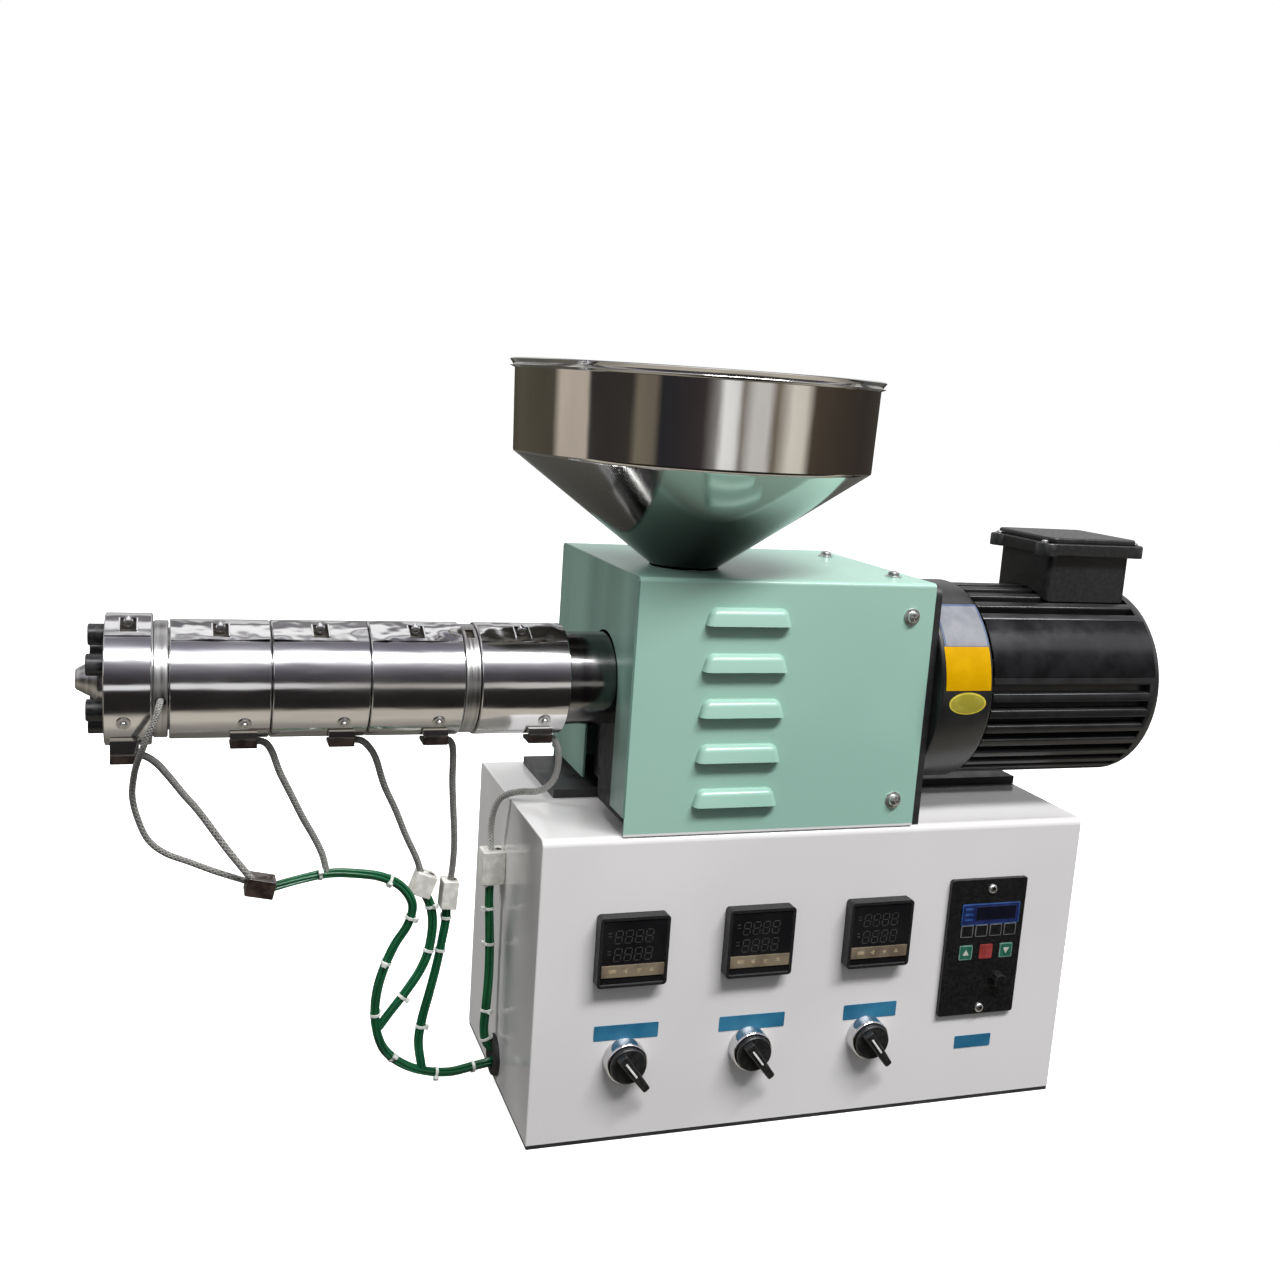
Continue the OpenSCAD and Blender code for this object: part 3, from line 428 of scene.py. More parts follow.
connector_sizes = {
    "connector_1": ((-370, 0, 170), (18, 16, 12), 12, ceramic_brown, "ceramic_brown"),
    "connector_2": ((-261, 26, 156), (14, 14, 16), 20, ceramic, "ceramic_white"),
    "connector_3": ((-243, 26, 148), (11, 14, 20), 4, ceramic, "ceramic_white"),
    "connector_4": ((-210, 40, 161), (16, 16, 24), 0, ceramic, "ceramic_white"),
}
for name, (middle, size, lean, glaze, slot) in connector_sizes.items():
    half = [s / 2 for s in size]
    body = eased_edges(block(name + "_block", [-h for h in half], half), 0.8, 3)
    well_r, hole_r, deep = min(half[1], half[2]) * 0.62, 2.2, 4
    cut(body, rod(half[0] - deep, half[0] + 2, well_r, "X", (0, 0), 32))
    cut(body, rod(half[2] - deep, half[2] + 2, hole_r, "Z", (half[0] / 2000, 0), 24))
    # The insides of the screw well and the top hole are painted near-black as painted shade.
    paint(body, glaze, painted_recess_shade, lambda p, n: all(abs(c) < h - 0.4 for c, h in zip(p, half)))
    body.data.transform(shift(*middle) @ spin(lean, "Y"))
    fit(body, slot, None, name)

for name, lead in leads.items():
    line = lead_lines[name]

# The floor is a plain pale sweep. A long ceiling strip in front, a dimmer one behind, a fill from each side and a
# pale room give the soft light. What the polished steel mirrors has bright and dark walls, as a workshop has.
floor = started("floor", bpy.ops.mesh.primitive_grid_add, size=60, x_subdivisions=4, y_subdivisions=4,
                location=(0, 0, -0.0004))
floor.data.materials.append(finish("floor_pale", (0.86, 0.86, 0.86), (0.89, 0.89, 0.89), 3, (0.7, 0.8),
                                   Emission_Color=(1, 1, 1, 1), Emission_Strength=0.72))
floor.visible_glossy = floor.visible_diffuse = False

aim = Vector((-0.05, 0, 0.3))
for name, place, size, power in (("ceiling_strip", (0.45, -1.65, 2.75), (2.2, 0.4), 116),
                                 ("back_strip", (0.5, 1.3, 2.6), (2.8, 0.9), 20),
                                 ("right_fill", (2.0, 0.9, 2.1), (1.2, 1.2), 24),
                                 ("left_fill", (-2.3, 0.5, 2.0), (1.0, 1.0), 42)):
    lamp = bpy.data.lights.new(name, "AREA")
    lamp.shape, lamp.size, lamp.size_y, lamp.energy = "RECTANGLE", *size, power
    light = bpy.data.objects.new(name, lamp)
    bpy.context.scene.collection.objects.link(light)
    light.location, light.visible_glossy = place, name == "ceiling_strip"
    light.rotation_euler = (aim - Vector(place)).to_track_quat("-Z", "Y").to_euler()

room = bpy.data.worlds.new("room")
bpy.context.scene.world = room
room.use_nodes = True
tree, link = room.node_tree, room.node_tree.links.new
tree.nodes.clear()
look, split = node(tree, "TexCoord"), node(tree, "SeparateXYZ")
link(look.outputs["Generated"], split.inputs["Vector"])


def banded(vector, stops):
    """Colours by the angle of a vector, from minus to plus half a turn."""
    dial, ramp = node(tree, "TexGradient"), node(tree, "ValToRGB")
    dial.gradient_type = "RADIAL"
    link(vector, dial.inputs["Vector"])
    link(dial.outputs["Fac"], ramp.inputs["Fac"])
    bands = ramp.color_ramp.elements
    while len(bands) < len(stops):
        bands.new(0.5)
    for band, (turn, *colour) in zip(bands, stops):
        band.position, band.color = turn / 360 + 0.5, (*colour, 1)
    return ramp.outputs["Color"]


over, flip = node(tree, "CombineXYZ"), node(tree, "Math", "MULTIPLY")
flip.inputs[1].default_value = -1
link(split.outputs["Y"], flip.inputs[0])
link(split.outputs["Z"], over.inputs["X"])
link(flip.outputs[0], over.inputs["Y"])
walls = banded(over.outputs["Vector"], [
    (-180, 0.4, 0.38, 0.33), (-150, 0.16, 0.15, 0.13), (-104, 0.12, 0.12, 0.11), (-84, 0.5, 0.5, 0.5),
    (-62, 0.85, 0.85, 0.86), (-54, 0.2, 0.19, 0.2), (-40, 0.26, 0.25, 0.27), (-34, 1.25, 1.25, 1.25),
    (-20, 1.25, 1.25, 1.25), (-14, 0.3, 0.29, 0.31), (-6, 0.95, 0.95, 0.97), (2, 0.2, 0.19, 0.22),
    (20, 0.27, 0.26, 0.31), (27, 1.2, 1.2, 1.28), (42, 1.2, 1.2, 1.28), (50, 0.28, 0.27, 0.31),
    (70, 0.09, 0.085, 0.095), (88, 0.03, 0.026, 0.026), (140, 0.016, 0.014, 0.014), (147, 0.62, 0.58, 0.5),
    (168, 0.62, 0.58, 0.5), (180, 0.4, 0.38, 0.33)])
round_room = banded(look.outputs["Generated"], [
    (-180, 0.62, 0.54, 0.46), (-178, 0.04, 0.035, 0.035), (-150, 0.05, 0.045, 0.04), (-145, 0.23, 0.2, 0.15),
    (-135, 0.2, 0.17, 0.13), (-131, 0.03, 0.03, 0.035), (-105, 0.05, 0.04, 0.04), (-97, 0.3, 0.29, 0.28),
    (-93, 1.1, 1.1, 1.1), (-86, 1.0, 1.0, 1.0), (-82, 0.24, 0.21, 0.18), (-75, 0.8, 0.78, 0.75),
    (-66, 0.75, 0.73, 0.7), (-61, 0.18, 0.14, 0.1), (-50, 0.85, 0.8, 0.72), (-40, 0.8, 0.75, 0.66),
    (-34, 0.085, 0.066, 0.048), (20, 0.045, 0.037, 0.032), (80, 0.06, 0.055, 0.045), (110, 0.1, 0.09, 0.065),
    (152, 0.09, 0.08, 0.06), (158, 0.62, 0.54, 0.46)])
dip, level_rays, steep_rays, wall_grey, ceiling_grey = 0.05, 0.065, 0.11, 0.15, 0.54
lift, height = node(tree, "Math", "ADD"), node(tree, "Math", "ABSOLUTE")
lift.inputs[1].default_value = dip
level = node(tree, "MapRange", From_Min=level_rays, From_Max=steep_rays)
ceiling = node(tree, "MapRange", To_Min=wall_grey, To_Max=ceiling_grey)
mirrored, seen, white = (node(tree, "Mix") for _ in range(3))
mirrored.data_type = seen.data_type = white.data_type = "RGBA"
ray, glow = node(tree, "LightPath"), node(tree, "Background")
link(split.outputs["Z"], lift.inputs[0])
link(lift.outputs[0], height.inputs[0])
link(height.outputs[0], level.inputs["Value"])
link(level.outputs["Result"], mirrored.inputs["Factor"])
link(round_room, mirrored.inputs["A"])
link(walls, mirrored.inputs["B"])
link(ray.outputs["Is Glossy Ray"], seen.inputs["Factor"])
link(split.outputs["Z"], ceiling.inputs["Value"])
link(ceiling.outputs["Result"], seen.inputs["A"])
link(mirrored.outputs["Result"], seen.inputs["B"])
link(ray.outputs["Is Camera Ray"], white.inputs["Factor"])
link(seen.outputs["Result"], white.inputs["A"])
white.inputs["B"].default_value = (1, 1, 1, 1)
link(white.outputs["Result"], glow.inputs["Color"])
link(glow.outputs["Background"], node(tree, "OutputWorld").inputs["Surface"])
bpy.context.scene.view_settings.view_transform = "Standard"

# The cabinet is folded from white powder-coated sheet, open below, with its top rolled over at the front and the
# back and the ends let in. Its floor is a dark sheet, which shows as a thin line along the bottom.
cabinet_white = finish("cabinet_white", (0.76, 0.745, 0.745), (0.81, 0.795, 0.795), 7, (0.16, 0.24), bump=0.25,
                       detail=2, Coat_Weight=0.35, Coat_Roughness=0.08)
front_y = -61


def opened(piece, test):
    """Takes away the faces that pass a test."""
    pick(piece, "FACE", test)
    bpy.ops.mesh.delete(type="FACE")
    bpy.ops.object.mode_set(mode="OBJECT")
    return piece


def rounded(piece, radius, segments, test):
    """Rounds the edges that pass a test, by a radius in millimetres."""
    pick(piece, "EDGE", test)
    bpy.ops.mesh.bevel(offset=radius / 1000, segments=segments)
    bpy.ops.object.mode_set(mode="OBJECT")
    return piece


def recoat(material, *names):
    """Gives CAD solids that show as they are a finish."""
    for name in names:
        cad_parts[name].data.materials.clear()
        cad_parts[name].data.materials.append(material)


shell = opened(block("cabinet_shell", (-202, front_y, 3), (202, 125, 213)), lambda p, n: n.z < -0.9)
rounded(shell, 5, 8, lambda p, n: abs(n.x) > 0.9 and p.z > 200)
rounded(shell, 0.9, 3, lambda p, n: abs(p.x) > 201.9 and abs(n.x) < 0.1 and p.z > 4)
applied(shell, "SOLIDIFY", thickness=0.0015, offset=-1)
applied(smooth(shell, 30), "WEIGHTED_NORMAL", keep_sharp=True)
fit(shell, "cabinet_white", cabinet_white, "cabinet")
dark_sheet = finish("dark_sheet", (0.026, 0.026, 0.028), (0.036, 0.036, 0.038), 60, (0.42, 0.55), bump=0.03)
recoat(dark_sheet, "cabinet_base", "bed_plate")

# Blue labels of plastic tape are stuck on the cabinet's front, one over each selector and one low on the right.
# They are bare here, with cut edges, and lie a little askew.
label_blue = finish("label_blue", (0.020, 0.135, 0.25), (0.032, 0.19, 0.33), 40, (0.3, 0.42), bump=0.03)


def rounded_block(name, low, high, axis, radius, segments):
    """A box whose edges along one axis are rounded."""
    way = "XYZ".index(axis)
    return rounded(block(name, low, high), radius, segments, lambda p, n: abs(n[way]) > 0.9)


labels = []
for x0, x1, z0, z1, lean in ((-160, -115, 73, 83.5, 0.4), (-71, -22.5, 72, 82.5, 0.2),
                             (23, 64.5, 72, 83, -0.3), (116, 146, 41.5, 51, 0.0)):
    label = rounded_block("label", (x0, front_y - 0.35, z0), (x1, front_y, z1), "Y", 0.6, 2)
    label.data.transform(spin_about((x0 + x1) / 2, 0, (z0 + z1) / 2, lean, "Y"))
    labels.append(label)
fit(joined("labels", labels), "cabinet_white", label_blue)

# The temperature controllers are panel units in black moulded cases with a smoked window. Behind it are two rows
# of unlit digits, and below it a bronze strip carries four keys with arrows.
case_black = finish("case_black", (0.006, 0.006, 0.0067), (0.011, 0.011, 0.012), 500, (0.38, 0.5), bump=0.02)
smoked = finish("smoked_window", (0.006, 0.006, 0.007), (0.010, 0.010, 0.011), 30, (0.2, 0.26))
digit_grey = finish("digit_grey", (0.028, 0.029, 0.028), (0.048, 0.049, 0.046), 300, (0.3, 0.4))
key_bronze = finish("key_bronze", (0.13, 0.10, 0.07), (0.23, 0.185, 0.125), 60, (0.3, 0.42))
print_gold = finish("print_gold", (0.30, 0.235, 0.15), (0.44, 0.36, 0.24), 400, (0.4, 0.5))


def outward(piece):
    """Turns every face of a piece outward."""
    alone(piece)
    bpy.ops.object.mode_set(mode="EDIT")
    bpy.ops.mesh.select_all(action="SELECT")
    bpy.ops.mesh.normals_make_consistent(inside=False)
    bpy.ops.object.mode_set(mode="OBJECT")
    return piece


def flat_mark(name, corners, y, depth=0.25):
    """A printed or moulded mark on the front panel: a flat outline in X and Z, in millimetres, drawn out in Y."""
    mark = started(name, bpy.ops.mesh.primitive_circle_add, vertices=len(corners), radius=0.01, fill_type="NGON")
    for corner, (x, z) in zip(mark.data.vertices, corners):
        corner.co = (x / 1000, y / 1000, z / 1000)
    bpy.ops.object.mode_set(mode="EDIT")
    bpy.ops.mesh.select_all(action="SELECT")
    bpy.ops.mesh.extrude_region_move(TRANSFORM_OT_translate={"value": (0, depth / 1000, 0)})
    return outward(mark)


def oblong(x0, z0, x1, z1):
    return [(x0, z0), (x1, z0), (x1, z1), (x0, z1)]


def triangle(x, z, reach, way):
    """The corners of an arrow that points a number of degrees up from the right."""
    return [(x + reach * cos(radians(way + a)), z + reach * sin(radians(way + a))) for a in (0, 120, 240)]


def digit(x, z, w, h, y):
    """The seven bars of an unlit digit, leaning a little to the right."""
    bar, slope, gap = 0.75, 0.12, 0.35
    bars = []
    for sx, sz, upright in ((0, 1, False), (0, 0, False), (0, -1, False), (-1, 0.5, True), (1, 0.5, True),
                            (-1, -0.5, True), (1, -0.5, True)):
        cx, cz = sx * w / 2, sz * h / 2
        reach = (h / 4 if upright else w / 2) - gap
        ends = ((-reach, 0), (-reach + bar / 2, -bar / 2), (reach - bar / 2, -bar / 2), (reach, 0),
                (reach - bar / 2, bar / 2), (-reach + bar / 2, bar / 2))
        spots = [(cx + v, cz + u) if upright else (cx + u, cz + v) for u, v in ends]
        bars.append(flat_mark("bar", [(x + u + slope * v, z + v) for u, v in spots], y))
    return bars


case_x, case_z, window_y, arrow_y = -139, 138, -69.22, -70.25
case = rounded_block("controller_case", (case_x - 24, -70, case_z - 24), (case_x + 24, front_y, case_z + 24),
                     "Y", 2.6, 5)
pick(case, "FACE", lambda p, n: n.y < -0.9)
bpy.ops.mesh.inset(thickness=0.0020, depth=0)
bpy.ops.mesh.inset(thickness=0.0003, depth=-0.0009)
paint(eased_edges(case, 0.12, 2, 50), case_black, smoked, lambda p, n: n.y < -0.95 and -69.3 < p.y < -68.9
      and max(abs(p.x - case_x), abs(p.z - case_z)) < 22)
marks = []
for row_z in (148.6, 136.4):
    for k in range(4):
        marks += digit(-149.8 + 7 * k, row_z, 4.7, 8.6, window_y)
marks += [flat_mark("lamp", oblong(-157, z, -154.6, z + 0.9), window_y) for z in (151, 148.8, 138.8, 136.6)]
digits = joined("controller_digits", marks)
digits.data.materials.append(digit_grey)
strip = eased_edges(block("controller_keys", (-160.6, -70.1, 121.2), (-117.4, -69.0, 129.4)), 0.3)
strip.data.materials.append(key_bronze)
arrows = [flat_mark("arrow", oblong(-155.6, 124.3, -150.6, 126.7), arrow_y, 0.3)]
arrows += [flat_mark("arrow", triangle(x, 125.4, 2.1, way), arrow_y, 0.3)
           for x, way in ((-144, 180), (-135, 270), (-126, 90))]
arrows = joined("controller_arrows", arrows)
arrows.data.materials.append(print_gold)
first = [case, digits, strip, arrows]
unit_pitch = 90
for k in range(3):
    for piece in first:
        twin = copy_of(piece, "%s_%d" % (piece.name, k + 1), shift(unit_pitch * k, 0, 0))
        fit(twin, "controller_black", None, *(["controller_%d" % (k + 1)] if piece is case else []))
for piece in first:
    bpy.data.objects.remove(piece)

# The selector switches are standard panel switches: a chromed ring screwed to the panel, and a black moulded knob
# whose lever has a white line as a pointer.
chrome = finish("chrome", (0.62, 0.62, 0.63), (0.72, 0.72, 0.73), 40, (0.05, 0.10), Metallic=1.0)
knob_black = finish("knob_black", (0.010, 0.010, 0.010), (0.02, 0.02, 0.02), 400, (0.32, 0.45), bump=0.02)
pointer_white = finish("pointer_white", (0.70, 0.70, 0.68), (0.85, 0.85, 0.83), 300, (0.4, 0.5))
lever_turn = 52
for k in range(3):
    x, z, body = -138 + unit_pitch * k, 59, "selector_knob_%d" % (k + 1)
    spot, foot = (x / 1000, z / 1000), (0, -0.0732, z / 1000)
    ring = turned("selector_ring_%d" % (k + 1), [
        (-61, 10.5), (-61, 14.75), (-61.6, 14.75), (-62, 14.5), (-68.4, 14.3), (-69.2, 14.1), (-69.8, 13.6),
        (-70, 13.2), (-69.6, 12.9), (-63, 12.9), (-62.6, 5.5), (-61, 5.5), (-61, 10.5)], "Y", spot, 64)
    fit(ring, "bezel_chrome", chrome, "selector_bezel_%d" % (k + 1))
    cap = turned("selector_cap", [(-62.9, 12.3), (-72.0, 12.5), (-72.9, 12.3), (-73.4, 11.7), (-73.4, 2)], "Y",
                 spot, 64)
    lever = block("selector_lever", (x - 11, -80.4, z - 4.25), (x + 20.5, -73.2, z + 4.25))
    pick(lever, "FACE", lambda p, n: n.x > 0.9)
    bpy.ops.transform.resize(value=(1, 0.62, 0.62), center_override=foot)
    pick(lever, "FACE", lambda p, n: n.x < -0.9)
    bpy.ops.transform.resize(value=(1, 0.8, 0.9), center_override=foot)
    eased_edges(lever, 1.3, 4)
    line = block("selector_pointer_%d" % (k + 1), (x - 6.5, -80.0, z - 0.7), (x + 6, -77.2, z + 0.7))
    eased_edges(line, 0.3)
    for part in (lever, line):
        part.data.transform(spin_about(x, 0, z, lever_turn, "Y"))
    fit(joined("selector_handle_%d" % (k + 1), [cap, lever]), "knob_black", knob_black, body, body=body)
    fit(line, "knob_black", pointer_white, body=body)

# The speed panel is a flat black moulded unit held by a socket-head screw at its top and bottom. It has a display
# in a blue frame, a row of four outlined keys, green, red and green keys below, and a small fluted dial.
panel_black = finish("panel_black", (0.004, 0.004, 0.0044), (0.008, 0.008, 0.0085), 500, (0.3, 0.42), bump=0.01)
frame_blue = finish("frame_blue", (0.02, 0.06, 0.20), (0.035, 0.095, 0.29), 120, (0.28, 0.35))
field_blue = finish("field_blue", (0.008, 0.016, 0.075), (0.012, 0.024, 0.11), 120, (0.28, 0.35))
display_dark = finish("display_dark", (0.005, 0.006, 0.013), (0.008, 0.009, 0.018), 60, (0.1, 0.16))
key_green = finish("key_green", (0.014, 0.10, 0.065), (0.024, 0.14, 0.094), 120, (0.35, 0.45))
key_red = finish("key_red", (0.24, 0.030, 0.028), (0.33, 0.048, 0.044), 120, (0.35, 0.45))
key_line = finish("key_line", (0.10, 0.10, 0.105), (0.17, 0.17, 0.175), 300, (0.4, 0.5))
key_rim = finish("key_rim", (0.10, 0.22, 0.17), (0.20, 0.33, 0.27), 300, (0.4, 0.5))
print_pale = finish("print_pale", (0.42, 0.42, 0.38), (0.60, 0.60, 0.55), 400, (0.4, 0.5))
panel_y = -64.5
plate = rounded_block("speed_plate", (97.5, panel_y, 69), (159.5, front_y, 172), "Y", 1.8, 4)
fit(eased_edges(plate, 0.5, 3, 50), "panel_black", panel_black, "speed_panel")


def key(name, x, z, w, h, face, rim):
    """A key on the panel: a raised rim with its face let in."""
    made = rounded_block(name, (x - w / 2, panel_y - 0.6, z - h / 2), (x + w / 2, panel_y + 0.1, z + h / 2),
                         "Y", 0.9, 3)
    pick(made, "FACE", lambda p, n: n.y < -0.9)
    bpy.ops.mesh.inset(thickness=0.0007, depth=0.0001)
    return paint(made, rim, face, lambda p, n: n.y < -0.9 and abs(p.x - x) < 0.5 and abs(p.z - z) < 0.5)


keys = [key("display", 131.4, 145.8, 47.5, 15.8, field_blue, frame_blue)]
keys += [key("small_key", 131 + 11.8 * (k - 1.5), 133.4, 10, 9.2, panel_black, key_line) for k in range(4)]
keys += [key(name, x, 117.2, 10.6, 10.8, face, rim) for name, x, face, rim in (
    ("green_key", 114.2, key_green, key_rim), ("red_key", 130.8, key_red, key_red),
    ("green_key", 147.4, key_green, key_rim))]
window = key("window", 135.6, 146.4, 34.0, 11.2, display_dark, field_blue)
window.data.transform(shift(0, -0.2, 0))
fit(joined("speed_keys", keys + [window]), "panel_black", None)
mark_y = -65.4
signs = [flat_mark("sign", triangle(114.2, 116.7, 2.9, 90), mark_y, 0.3),
         flat_mark("sign", triangle(147.4, 117.7, 2.9, 270), mark_y, 0.3)]
fit(joined("speed_signs", signs), "panel_black", print_pale)
lamps = [flat_mark("lamp", oblong(110.2, z, 116.6, z + 1.5), mark_y, 0.3) for z in (141.4, 145.4, 149.4)]
fit(joined("speed_lamps", lamps), "panel_black", frame_blue)
dial_x, dial_z, flute_r = 0.1425, 0.0956, 0.0054
dial = turned("speed_dial", [(-64.4, 6.2), (-65.4, 6.2), (-65.6, 5.4), (-70.4, 5.0), (-71.2, 4.5), (-71.2, 1)],
              "Y", (dial_x, dial_z), 40)
for k in range(10):
    spot = (dial_x + flute_r * cos(k * pi / 5), dial_z + flute_r * sin(k * pi / 5))
    cut(dial, rod(-66.2, -72, 0.7, "Y", spot, 10))
fit(smooth(dial), "panel_black", panel_black)


def copies(piece, places):
    """Copies of a piece, one at each place; the pattern itself goes."""
    made = [copy_of(piece, piece.name + "_copy", place) for place in places]
    bpy.data.objects.remove(piece)
    return made


zinc = finish("zinc", (0.60, 0.60, 0.59), (0.76, 0.76, 0.75), 300, (0.28, 0.4), Metallic=1.0)
small_screw = turned("small_screw", [(0.3, 1), (0, 3.5), (-0.7, 3.5), (-1.5, 3.2), (-2.0, 2.7), (-2.2, 2.1),
                                     (-2.2, 0.8)], "Y", (0, 0), 40)
cut(small_screw, rod(-0.6, -3, 1.75, "Y", (0, 0), 6))
# The hex socket's inside is painted near-black as painted shade.
paint(smooth(small_screw), zinc, painted_recess_shade, lambda p, n: p.xz.length < 1.74 and -2.1 < p.y < -0.5)
panel_screws = copies(small_screw, [shift(130.5, panel_y, z) for z in (164.7, 74.2)])
fit(joined("speed_screws", panel_screws), "bezel_chrome", None)

# The guard is one folded sheet, painted mint green with a white line along its foot as painted highlight, with a
# column of pressed louvres in its front and back and a hole in its top for the hopper's neck. Its end plate is the
# CAD solid, its paint darkened as painted shade. Zinc-plated screws on washers hold the guard at the motor's end.
guard_green = finish("guard_green", (0.315, 0.53, 0.445), (0.355, 0.575, 0.485), 6, (0.29, 0.38), bump=0.12,
                     detail=2, Coat_Weight=0.3, Coat_Roughness=0.2)
throat, louvre_pitch, foot_highlight_z = (-0.098, 0), 30, 214.6
sheet = block("guard_sheet", (-148.5, -60, 213), (62, 116, 382))
opened(sheet, lambda p, n: n.z < -0.9 or abs(n.x) > 0.9)
rounded(sheet, 3, 6, lambda p, n: abs(n.x) > 0.9 and p.z > 380)
applied(sheet, "SOLIDIFY", thickness=0.0015, offset=-1)
slots = [rod(370, 395, 23.5, "Z", throat, 64)]
for k in range(5):
    for y in (-59.25, 115.25):
        slots.append(block("slot", (-97, y - 4, 232.5 + louvre_pitch * k), (-50, y + 4, 241 + louvre_pitch * k)))
alone(cut(sheet, joined("slots", slots)))
bpy.ops.object.mode_set(mode="EDIT")
bpy.ops.mesh.select_all(action="SELECT")
# The sheet is split at its foot. The front and back faces below the split are painted white: a painted highlight
# standing for the lit rounded edge of the cabinet's top.
bpy.ops.mesh.bisect(plane_co=(0, 0, foot_highlight_z / 1000), plane_no=(0, 0, 1))
paint(smooth(sheet, 30), guard_green, cabinet_white, lambda p, n: p.z < foot_highlight_z - 0.05 and abs(n.y) > 0.9)
applied(sheet, "WEIGHTED_NORMAL", keep_sharp=True)

hood = block("hood", (-103, -66.5, 232.5), (-44, -59.4, 244))
hood.data.materials.append(guard_green)
pick(hood, "FACE", lambda p, n: n.z > 0.9)
bpy.ops.transform.resize(value=(0.9, 1, 1), center_override=(-0.0735, 0, 0))
pick(hood, "EDGE", lambda p, n: p.y < -66 and p.z > 243.5 and abs(n.x) > 0.9)
bpy.ops.transform.translate(value=(0, 0.0022, 0))
rounded(hood, 4.6, 6, lambda p, n: (p.y < -64 and p.z > 233) or (p.z > 243.5 and abs(n.y) > 0.9))
opened(hood, lambda p, n: n.y > 0.9 or n.z < -0.9)
smooth(applied(hood, "SOLIDIFY", thickness=0.0012, offset=-1), 40)
hoods = copies(hood, [shift(0, 0, louvre_pitch * k) @ spin_about(-73.5, 28, 0, turn, "Z")
                      for k in range(5) for turn in (0, 180)])
fit(joined("guard_hood", [sheet] + hoods), "guard_green", None, "guard")
# The end plate's coat is the guard's green made darker: painted shade for the end face, which looks away from the
# light.
guard_end_painted_shade = finish("guard_end_painted_shade", (0.125, 0.225, 0.19), (0.195, 0.32, 0.27), 22, (0.29, 0.4),
                    stretch=(1, 1, 0.08), detail=2, Coat_Weight=0.3, Coat_Roughness=0.2)
recoat(guard_end_painted_shade, "guard_end")


def screw_head(name, r, washer):
    """A round screw head with a cross recess, on its washer or bare, at the origin and facing forward."""
    head = turned(name, [(0.3, 0.35 * r), (0, r), (-0.35 * r, r), (-0.6 * r, 0.88 * r), (-0.72 * r, 0.6 * r),
                         (-0.78 * r, 0.2 * r)], "Y", (0, 0), 40)
    for w, h in ((0.22 * r, 1.1 * r), (1.1 * r, 0.22 * r)):
        cut(head, block("recess", (-w / 2, -r, -h / 2), (w / 2, -0.45 * r, h / 2)))
    if not washer:
        return head
    disc = turned("washer", [(0.3, 0.5 * r), (0, 1.45 * r), (-0.8, 1.45 * r), (-1, 1.35 * r), (-1, 0.5 * r)], "Y",
                  (0, 0), 40)
    head.data.transform(shift(0, -1, 0))
    return joined(name, [head, disc])


screw_x, screw_rows = 45, (232, 359.5)
places = [shift(screw_x, -60, z) for z in screw_rows]
places += [shift(screw_x, y, 382) @ spin(-90, "X") for y in (-30, 75)]
places += [shift(screw_x, 116, z) @ spin(180, "Z") for z in screw_rows]
fit(joined("guard_screws", copies(screw_head("guard_screw", 4.0, True), places)), "bezel_chrome", zinc)

# Inside the guard stand the feed housing under the hopper, the bearing housing and the plate that carries the
# motor: rough castings and plate in dark paint. They keep their CAD solids.
iron_dark = finish("iron_dark", (0.02, 0.02, 0.021), (0.055, 0.055, 0.057), 220, (0.5, 0.7), bump=0.25)
plate_black = finish("plate_black", (0.021, 0.021, 0.022), (0.029, 0.029, 0.031), 120, (0.38, 0.48), bump=0.03)
recoat(iron_dark, "feed_housing", "bearing_housing")
recoat(plate_black, "motor_plate")

# The screw is turned from one bar: a core with a single flight wound round it, ground to run close in the bore.
# It shows only down the hopper's neck.
ground_steel = finish("ground_steel", (0.42, 0.42, 0.43), (0.55, 0.55, 0.56), 220, (0.2, 0.26), stretch=(4, 1, 1),
                      Metallic=1.0)
core = turned("screw_core", [(-425, 4), (-426, 8), (-426, 8.5), (-56.2, 8.5), (-56.2, 4)], sides=40)
flight = opened(block("screw_flight", (-425.8, -0.4, 313), (-422.8, 0.4, 317.3)), lambda p, n: n.y < 0.9)
flight.data.transform(shift(0, -0.4, -barrel_z))
wound, flight_steps = 14.6, 14 * 36
applied(flight, "SCREW", axis="X", angle=2 * pi * wound, screw_offset=0.365, steps=flight_steps,
        render_steps=flight_steps, use_merge_vertices=True)
flight.data.transform(shift(0, 0, barrel_z))
smooth(outward(flight), 40)
fit(joined("screw_turned", [core, flight]), "screw_steel", ground_steel, "screw")

# The barrel is a thick turned tube with a flange at its end, drilled at the front for the temperature sensor. Fine
# turning marks run round it. Behind the flange it is smoother, and darker as a painted reflection of dark
# surroundings.
turned_steel = finish("turned_steel", (0.36, 0.355, 0.35), (0.56, 0.555, 0.55), 700, (0.28, 0.38),
                      stretch=(1, 0.03, 0.03), bump=0.008, Metallic=1.0)
tube_painted_reflection = finish("tube_painted_reflection", (0.17, 0.168, 0.165), (0.21, 0.208, 0.204), 200, (0.12, 0.18),
                   stretch=(1, 0.1, 0.1), Metallic=1.0)


def on_barrel(x, turn, out):
    """A place along the barrel's axis and out from it, turned from the top towards the front."""
    return shift(x, 0, barrel_z) @ spin(turn, "X") @ shift(0, 0, out)


tube = turned("barrel_tube", [(-434.4, 12.7), (-434.4, 34.9), (-433.8, 35.5), (-426.6, 35.5), (-426, 34.9),
                              (-426, 31), (-128, 31), (-128, 12.7), (-434.4, 12.7)], sides=128)
hole = rod(0, 12, 3.2, "Z", (0, 0), 32)
hole.data.transform(on_barrel(-430.2, 100, 30.5))
# Past the flange the tube takes the smoother steel, painted darker as a painted reflection of the dark it mirrors
# there.
paint(smooth(cut(tube, hole)), turned_steel, tube_painted_reflection, lambda p, n: p.x > -425.9)
fit(tube, "barrel_steel", None, "barrel")

